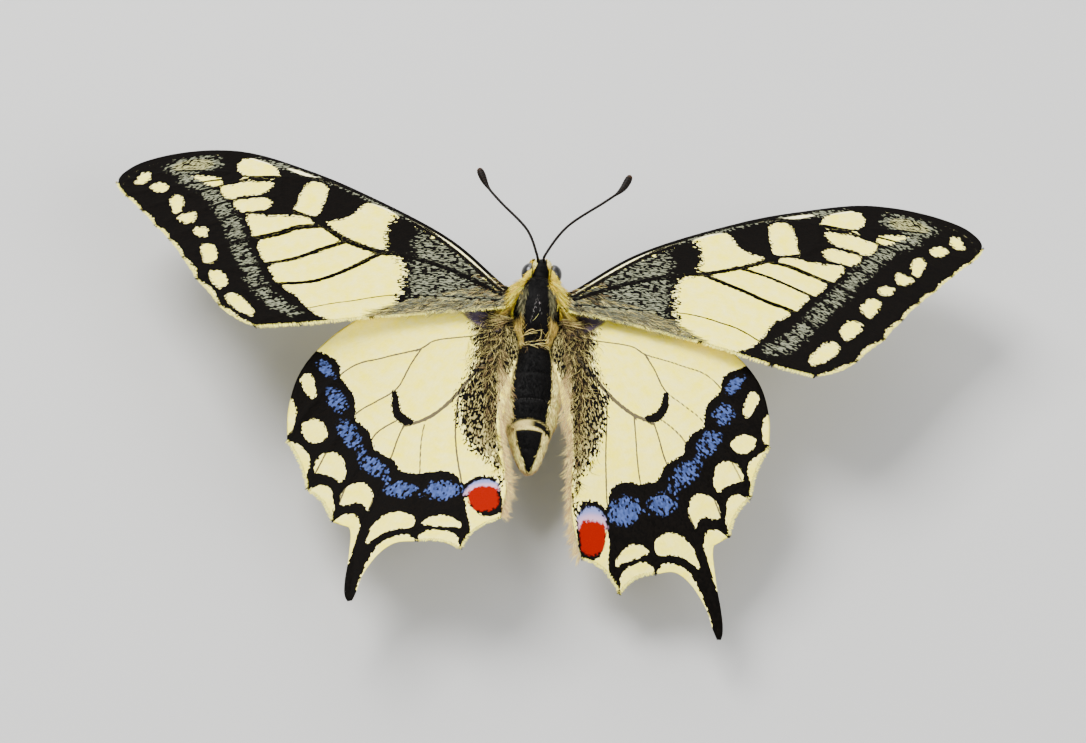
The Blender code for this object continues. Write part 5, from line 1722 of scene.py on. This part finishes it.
# The stretch of plan that the map of each kind of hair takes: low and high corner
HAIR_BOXES = {"fore": ((-1.0, -8.0), (39.0, 18.0)), "hind": ((0.0, -33.0), (22.5, 3.0))}
HIND_FRINGE = ((1.5, -3.0), (1.95, -5.0), (2.1, -9.5), (1.8, -15.5), (1.6, -20.5), (2.3, -24.5))


def lie_of(heading):
    """Directions in the plan from headings in radians."""
    return np.stack([np.cos(heading), np.sin(heading)], axis=1)


def fore_hair(rng, name, settings, colours):
    """Hair that fans from the root of a forewing, and lies outwards along its inner margin."""
    spots = scattered(rng, FORE_HAIR_AREA, 240)
    count = len(spots)
    lock = locks(rng, spots, 0.4)
    heading = np.arctan2(spots[:, 1] - 0.3, spots[:, 0] + 2.5) * 0.7 - 0.4 + by_lock(rng, lock, 0.2)
    tint = strand_tint(rng, count, colours, 0.6, 0.08)
    lift = rng.uniform(0.05, 0.25, count)
    base = wing_hair_set(
        rng, name, spots, lie_of(heading + rng.normal(0, 0.1, count)), rng.uniform(0.6, 1.4, count) * settings.length,
        rng.uniform(0.03, 0.05, count), lift, lift * 0.9, by_lock(rng, lock, 0.2), tint,
    )
    spots = scattered(rng, FORE_MARGIN_HAIR, 2900)
    spots = spots[rng.random(len(spots)) < np.interp(spots[:, 0], (0, 5, 13), (1.0, 0.9, 0.55))]
    count = len(spots)
    lock = locks(rng, spots, 0.45)
    heading = -0.38 + ragged(rng, lock, 0.16, 0.1)
    chance = rng.random(count)
    tint = blend_tints(
        colours, "hair", ((chance < 0.45) * 1.0, "dusting"), ((chance > 0.85) * 0.9, "black"),
        ((np.abs(chance - 0.5) < 0.06) * 1.0, "cream"),
    )
    lift = rng.uniform(0.02, 0.13, count)
    margin = wing_hair_set(
        rng, name, spots, lie_of(heading), rng.uniform(0.7, 1.6, count), rng.uniform(0.025, 0.045, count), lift,
        lift * 0.9, ragged(rng, lock, 0.18, 0.1), tint,
    )
    return [base, margin]


def hind_hair(rng, name, settings, colours):
    """Long curly hair on the inner third of a hindwing, that runs back, and a fringe beside the abdomen."""
    spots = scattered(rng, HIND_HAIR_AREA, 5600)
    inner = np.interp(spots[:, 1], (-19, -14, -6, 1), (2.2, 2.9, 3.3, 3.0)) - spots[:, 0]
    spots = spots[rng.random(len(spots)) < 0.04 + 0.96 * smoothstep(-0.5, 0.9, inner)]
    count = len(spots)
    lock = locks(rng, spots, 0.5)
    heading = np.interp(spots[:, 1], (-17, -8, 0), (-1.65, -1.5, -1.0)) + ragged(rng, lock, 0.4, 0.15)
    tint = strand_tint(rng, count, colours, 0.68, 0.12)
    length = np.interp(spots[:, 1], (-18, -9, 0), (0.9, 1.4, 1.6)) * rng.uniform(0.4, 1.2, count) * settings.length
    lift = rng.uniform(0.05, 0.32, count)
    body = wing_hair_set(
        rng, name, spots, lie_of(heading), length, rng.uniform(0.022, 0.04, count), lift, lift,
        ragged(rng, lock, 0.4, 0.35), tint,
    )
    line = smooth_through(HIND_FRINGE, 0.012)
    line = line + rng.normal(0, 0.09, line.shape)
    spread = smoothstep(-5.0, -6.5, line[:, 1]) * smoothstep(-13.0, -10.0, line[:, 1])
    line[:, 0] -= rng.uniform(0, 1.15, len(line)) * spread
    count = len(line)
    lock = locks(rng, line, 0.35)
    heading = np.interp(line[:, 1], (-24, -15, -3), (-2.15, -2.1, -1.9)) + ragged(rng, lock, 0.22, 0.1)
    dark = smoothstep(-7.0, -5.0, line[:, 1]) * (rng.random(count) < 0.85)
    tint = blend_tints(colours, "buff", ((rng.random(count) < 0.45) * 1.0, "cream"), (dark * 0.9, "hair"))
    lift = rng.uniform(-0.05, 0.2, count)
    fringe = wing_hair_set(
        rng, name, line, lie_of(heading), rng.uniform(0.5, 1.4, count), rng.uniform(0.02, 0.036, count), lift, lift,
        by_lock(rng, lock, 0.25), tint,
    )
    return [body, fringe]


def build_wing_hair(name, settings, colours):
    """The hair of a wing and the fringe along its margins, as one piece."""
    rng = np.random.default_rng(list(WING_POSES).index(name) + 11)
    kind = name[:4]
    sets = (fore_hair if kind == "fore" else hind_hair)(rng, name, settings, colours)
    sets += [edge_cilia(rng, name, *fringe, colours) for fringe in FRINGES[kind]]
    build_tufts(f"{name}_hair", sets)


# ---------------------------------------------------------------- stage

# The camera: its place in millimetres, how far it looks down, its roll in degrees, and its lens
CAMERA_AT = (0.46, -238.88, 382.9)
CAMERA_RAISED = 57.14
CAMERA_ROLLED = 4.26
CAMERA_LENS = 149.2
# Each light's place and size in metres, the setting that it follows, and its share of that power
LIGHTS = {
    "key": ((-0.25, 0.22, 0.5), 0.3, "key", 1.0),
    "fill": ((0.45, -0.25, 0.45), 0.5, "fill", 1.0),
    "front": ((0.0, 0.6, 0.35), 0.4, "fill", 0.6),
}
SKY = (0.9, 0.93, 1.0, 1.0)


def place_in_scene(name, data, axes, at):
    """A light or camera in the scene, from its own three axes and its place."""
    made = bpy.data.objects.new(name, data)
    turn = np.eye(4)
    turn[:3, :3] = np.stack(axes, axis=1)
    turn[:3, 3] = at
    made.matrix_world = Matrix(turn.tolist())
    bpy.context.scene.collection.objects.link(made)
    return made


def add_light(name, at, size, power):
    """A square soft light that faces the middle of the stage."""
    data = bpy.data.lights.new(name, "AREA")
    data.size = size
    data.energy = power
    back = unit(np.array(at))
    right = unit(np.cross(np.array((0.0, 0.0, 1.0)), back) + np.array((1e-6, 0, 0)))
    place_in_scene(name, data, (right, np.cross(back, right), back), at)


def add_camera():
    """The camera: behind and above, looking down at the back, rolled a little."""
    data = bpy.data.cameras.new("camera")
    data.lens = CAMERA_LENS
    data.clip_start = 0.01
    raised, rolled = math.radians(CAMERA_RAISED), math.radians(CAMERA_ROLLED)
    back = np.array((0.0, -math.cos(raised), math.sin(raised)))
    level = np.array((1.0, 0.0, 0.0))
    upward = np.cross(back, level)
    right = math.cos(rolled) * level + math.sin(rolled) * upward
    ahead = -math.sin(rolled) * level + math.cos(rolled) * upward
    bpy.context.scene.camera = place_in_scene("camera", data, (right, ahead, back), np.array(CAMERA_AT) * MM)


def floor_material(colour):
    """A plain pale floor with a faint cloud in it."""
    material, tree = new_material("floor", roughness=0.9)
    dress(tree, mix(grain(tree, 6.0), colour, [part * 0.96 for part in colour]))
    return material


def build_stage(settings):
    """The floor, three soft lights, pale surroundings and the camera."""
    mesh = bpy.data.meshes.new("floor")
    mesh.from_pydata([(-3, -3, 0), (3, -3, 0), (3, 3, 0), (-3, 3, 0)], [], [(0, 1, 2, 3)])
    mesh.materials.append(floor_material(settings.floor))
    floor = bpy.data.objects.new("floor", mesh)
    bpy.context.scene.collection.objects.link(floor)
    for name, (at, size, setting, share) in LIGHTS.items():
        add_light(name, at, size, getattr(settings, setting) * share)
    world = bpy.data.worlds.new("studio")
    world.use_nodes = True
    background = world.node_tree.nodes["Background"]
    background.inputs["Color"].default_value = SKY
    background.inputs["Strength"].default_value = settings.ambient
    bpy.context.scene.world = world
    add_camera()


# ---------------------------------------------------------------- settings

def colour_property(name, description, shown):
    """A colour setting, from its display colour in bytes."""
    return bpy.props.FloatVectorProperty(
        name=name, description=description, subtype="COLOR", size=3, min=0.0, max=1.0, default=linear(shown)
    )


def count_property(name, description, default):
    """A number of tufts."""
    return bpy.props.IntProperty(name=name, description=description, default=default, min=100, max=12000)


def share_property(name, description, most):
    """A share of the natural size."""
    return bpy.props.FloatProperty(
        name=name, description=description, default=1.0, min=0.3, max=most, subtype="FACTOR"
    )


def light_property(name, description, default, **unit_of):
    """The power or strength of a light."""
    return bpy.props.FloatProperty(name=name, description=description, default=default, min=0.0, **unit_of)


class ButterflyColours(bpy.types.PropertyGroup):
    """The colours of scales, hair and skin."""

    pale: colour_property("Pale scales", "Ground colour of the wings", (252, 238, 114))
    black: colour_property("Black scales", "Dark bands, veins, back and limbs", (7, 6, 5))
    dusting: colour_property("Dusting", "Pale scales scattered over black", (118, 120, 98))
    soot_dust: colour_property("Hindwing dusting", "Pale scales over the dark inner hindwing", (172, 158, 96))
    blue: colour_property("Blue scales", "Blue dusting of the hindwing border", (66, 83, 136))
    red: colour_property("Red scales", "The eyespot of the hindwing", (126, 10, 0))
    lilac: colour_property("Lilac scales", "The cap over the eyespot", (112, 120, 168))
    vein: colour_property("Hindwing veins", "Fine vein lines on the pale ground", (84, 76, 56))
    gold: colour_property("Golden hair", "Hair from the eyes to the wing bases", (250, 214, 62))
    green: colour_property("Greenish hair", "Stripes beside the black back", (108, 103, 74))
    cream: colour_property("Cream hair", "Pale stripes of thorax and abdomen", (238, 218, 128))
    buff: colour_property("Buff hair", "Flanks of the abdomen", (196, 160, 106))
    flank: colour_property("Flank hair", "Sides of the thorax", (120, 102, 62))
    hair: colour_property("Hindwing hair", "Long hair of the inner hindwing", (74, 64, 42))
    horn: colour_property("Horn", "Joints of feelers and legs", (110, 74, 44))
    eye: colour_property("Eyes", "The dark of the eyes", (10, 8, 8))
    eye_rim: colour_property("Eye rims", "The paler rim of the eyes", (60, 58, 56))


class ButterflyCoat(bpy.types.PropertyGroup):
    """How dense and how long the coat is."""

    head: count_property("Head tufts", "Tufts on the head", 6500)
    thorax: count_property("Thorax tufts", "Tufts on the thorax", 11000)
    abdomen: count_property("Abdomen tufts", "Tufts on the abdomen", 11500)
    length: share_property("Length", "Share of the natural hair length", 1.5)
    width: share_property("Width", "Share of the natural tuft width", 2.0)


class ButterflyStage(bpy.types.PropertyGroup):
    """The floor and the lights."""

    floor: colour_property("Floor", "Colour of the floor", (172, 171, 168))
    key: light_property("Key light", "Power of the key light", 8.0, unit="POWER")
    fill: light_property("Fill light", "Power of the fill light", 4.6, unit="POWER")
    ambient: light_property("Ambient", "Strength of the surroundings", 1.0)


class ButterflySettings(bpy.types.PropertyGroup):
    """All settings of the butterfly."""

    colours: bpy.props.PointerProperty(type=ButterflyColours, name="Colours", description="Colours of the butterfly")
    coat: bpy.props.PointerProperty(type=ButterflyCoat, name="Coat", description="The coat of the body")
    stage: bpy.props.PointerProperty(type=ButterflyStage, name="Stage", description="Floor and lights")


# ---------------------------------------------------------------- operators and panel

class BUTTERFLY_OT_wings(bpy.types.Operator):
    """Build the four scaled wings with their patterns"""

    bl_idname = "butterfly.wings"
    bl_label = "Build Wings"

    def execute(self, context):
        colours = context.scene.butterfly.colours
        scale_rows_group()
        wing_colour_group()
        for name in WING_POSES:
            kind = name[:4]
            sides = [wing_material(f"{name}_{face}", kind, face == "under", colours) for face in ("upper", "under")]
            build_wing(name, sides)
        return {"FINISHED"}


class BUTTERFLY_OT_wing_hair(bpy.types.Operator):
    """Build the hair of the wing bases and the fringes of the margins"""

    bl_idname = "butterfly.wing_hair"
    bl_label = "Build Wing Hair"

    def execute(self, context):
        settings = context.scene.butterfly
        for name in WING_POSES:
            build_wing_hair(name, settings.coat, settings.colours)
        return {"FINISHED"}


class BUTTERFLY_OT_skin(bpy.types.Operator):
    """Build the one skin of head, thorax and abdomen"""

    bl_idname = "butterfly.skin"
    bl_label = "Build Skin"

    def execute(self, context):
        build_skin(context.scene.butterfly.colours)
        return {"FINISHED"}


class BUTTERFLY_OT_fur(bpy.types.Operator):
    """Build the coat of head, thorax and abdomen in tufts"""

    bl_idname = "butterfly.fur"
    bl_label = "Build Coat"

    def execute(self, context):
        settings = context.scene.butterfly
        for part in COATS:
            build_fur(part, settings.coat, settings.colours)
        build_collar(settings.coat, settings.colours)
        return {"FINISHED"}


class BUTTERFLY_OT_eyes(bpy.types.Operator):
    """Build the two domed eyes"""

    bl_idname = "butterfly.eyes"
    bl_label = "Build Eyes"

    def execute(self, context):
        for word, side in SIDES.items():
            build_eye(word, side, context.scene.butterfly.colours)
        return {"FINISHED"}


class BUTTERFLY_OT_antennae(bpy.types.Operator):
    """Build the two clubbed antennae"""

    bl_idname = "butterfly.antennae"
    bl_label = "Build Antennae"

    def execute(self, context):
        build_antennae(context.scene.butterfly.colours)
        return {"FINISHED"}


class BUTTERFLY_OT_mouth(bpy.types.Operator):
    """Build the palps and the coiled proboscis"""

    bl_idname = "butterfly.mouth"
    bl_label = "Build Mouthparts"

    def execute(self, context):
        build_mouth(context.scene.butterfly.colours)
        return {"FINISHED"}


class BUTTERFLY_OT_legs(bpy.types.Operator):
    """Build the six scaled legs"""

    bl_idname = "butterfly.legs"
    bl_label = "Build Legs"

    def execute(self, context):
        for pair in LEGS:
            for word in SIDES:
                build_leg(pair, word, context.scene.butterfly.colours)
        return {"FINISHED"}


class BUTTERFLY_OT_stage(bpy.types.Operator):
    """Build the floor, the lights and the camera"""

    bl_idname = "butterfly.stage"
    bl_label = "Build Stage"

    def execute(self, context):
        build_stage(context.scene.butterfly.stage)
        return {"FINISHED"}


STEPS = ("wings", "wing_hair", "skin", "fur", "eyes", "antennae", "mouth", "legs", "stage")


class BUTTERFLY_PT_panel(bpy.types.Panel):
    """Settings and build steps of the butterfly"""

    bl_idname = "BUTTERFLY_PT_panel"
    bl_label = "Butterfly"
    bl_space_type = "VIEW_3D"
    bl_region_type = "UI"
    bl_category = "Butterfly"

    def draw(self, context):
        settings = context.scene.butterfly
        for group in (settings.colours, settings.coat, settings.stage):
            box = self.layout.box()
            for key in group.bl_rna.properties.keys():
                if key not in ("rna_type", "name"):
                    box.prop(group, key)
        for step in STEPS:
            self.layout.operator(f"butterfly.{step}")


CLASSES = (
    ButterflyColours, ButterflyCoat, ButterflyStage, ButterflySettings, BUTTERFLY_OT_wings,
    BUTTERFLY_OT_wing_hair, BUTTERFLY_OT_skin, BUTTERFLY_OT_fur, BUTTERFLY_OT_eyes, BUTTERFLY_OT_antennae,
    BUTTERFLY_OT_mouth, BUTTERFLY_OT_legs, BUTTERFLY_OT_stage, BUTTERFLY_PT_panel,
)


def register():
    """Add the classes and the scene's settings."""
    for made in CLASSES:
        bpy.utils.register_class(made)
    bpy.types.Scene.butterfly = bpy.props.PointerProperty(type=ButterflySettings)


def unregister():
    """Remove the settings and the classes."""
    del bpy.types.Scene.butterfly
    for made in reversed(CLASSES):
        bpy.utils.unregister_class(made)


def main():
    """Build every part in order."""
    register()
    for step in STEPS:
        getattr(bpy.ops.butterfly, step)()


if __name__ == "__main__":
    main()
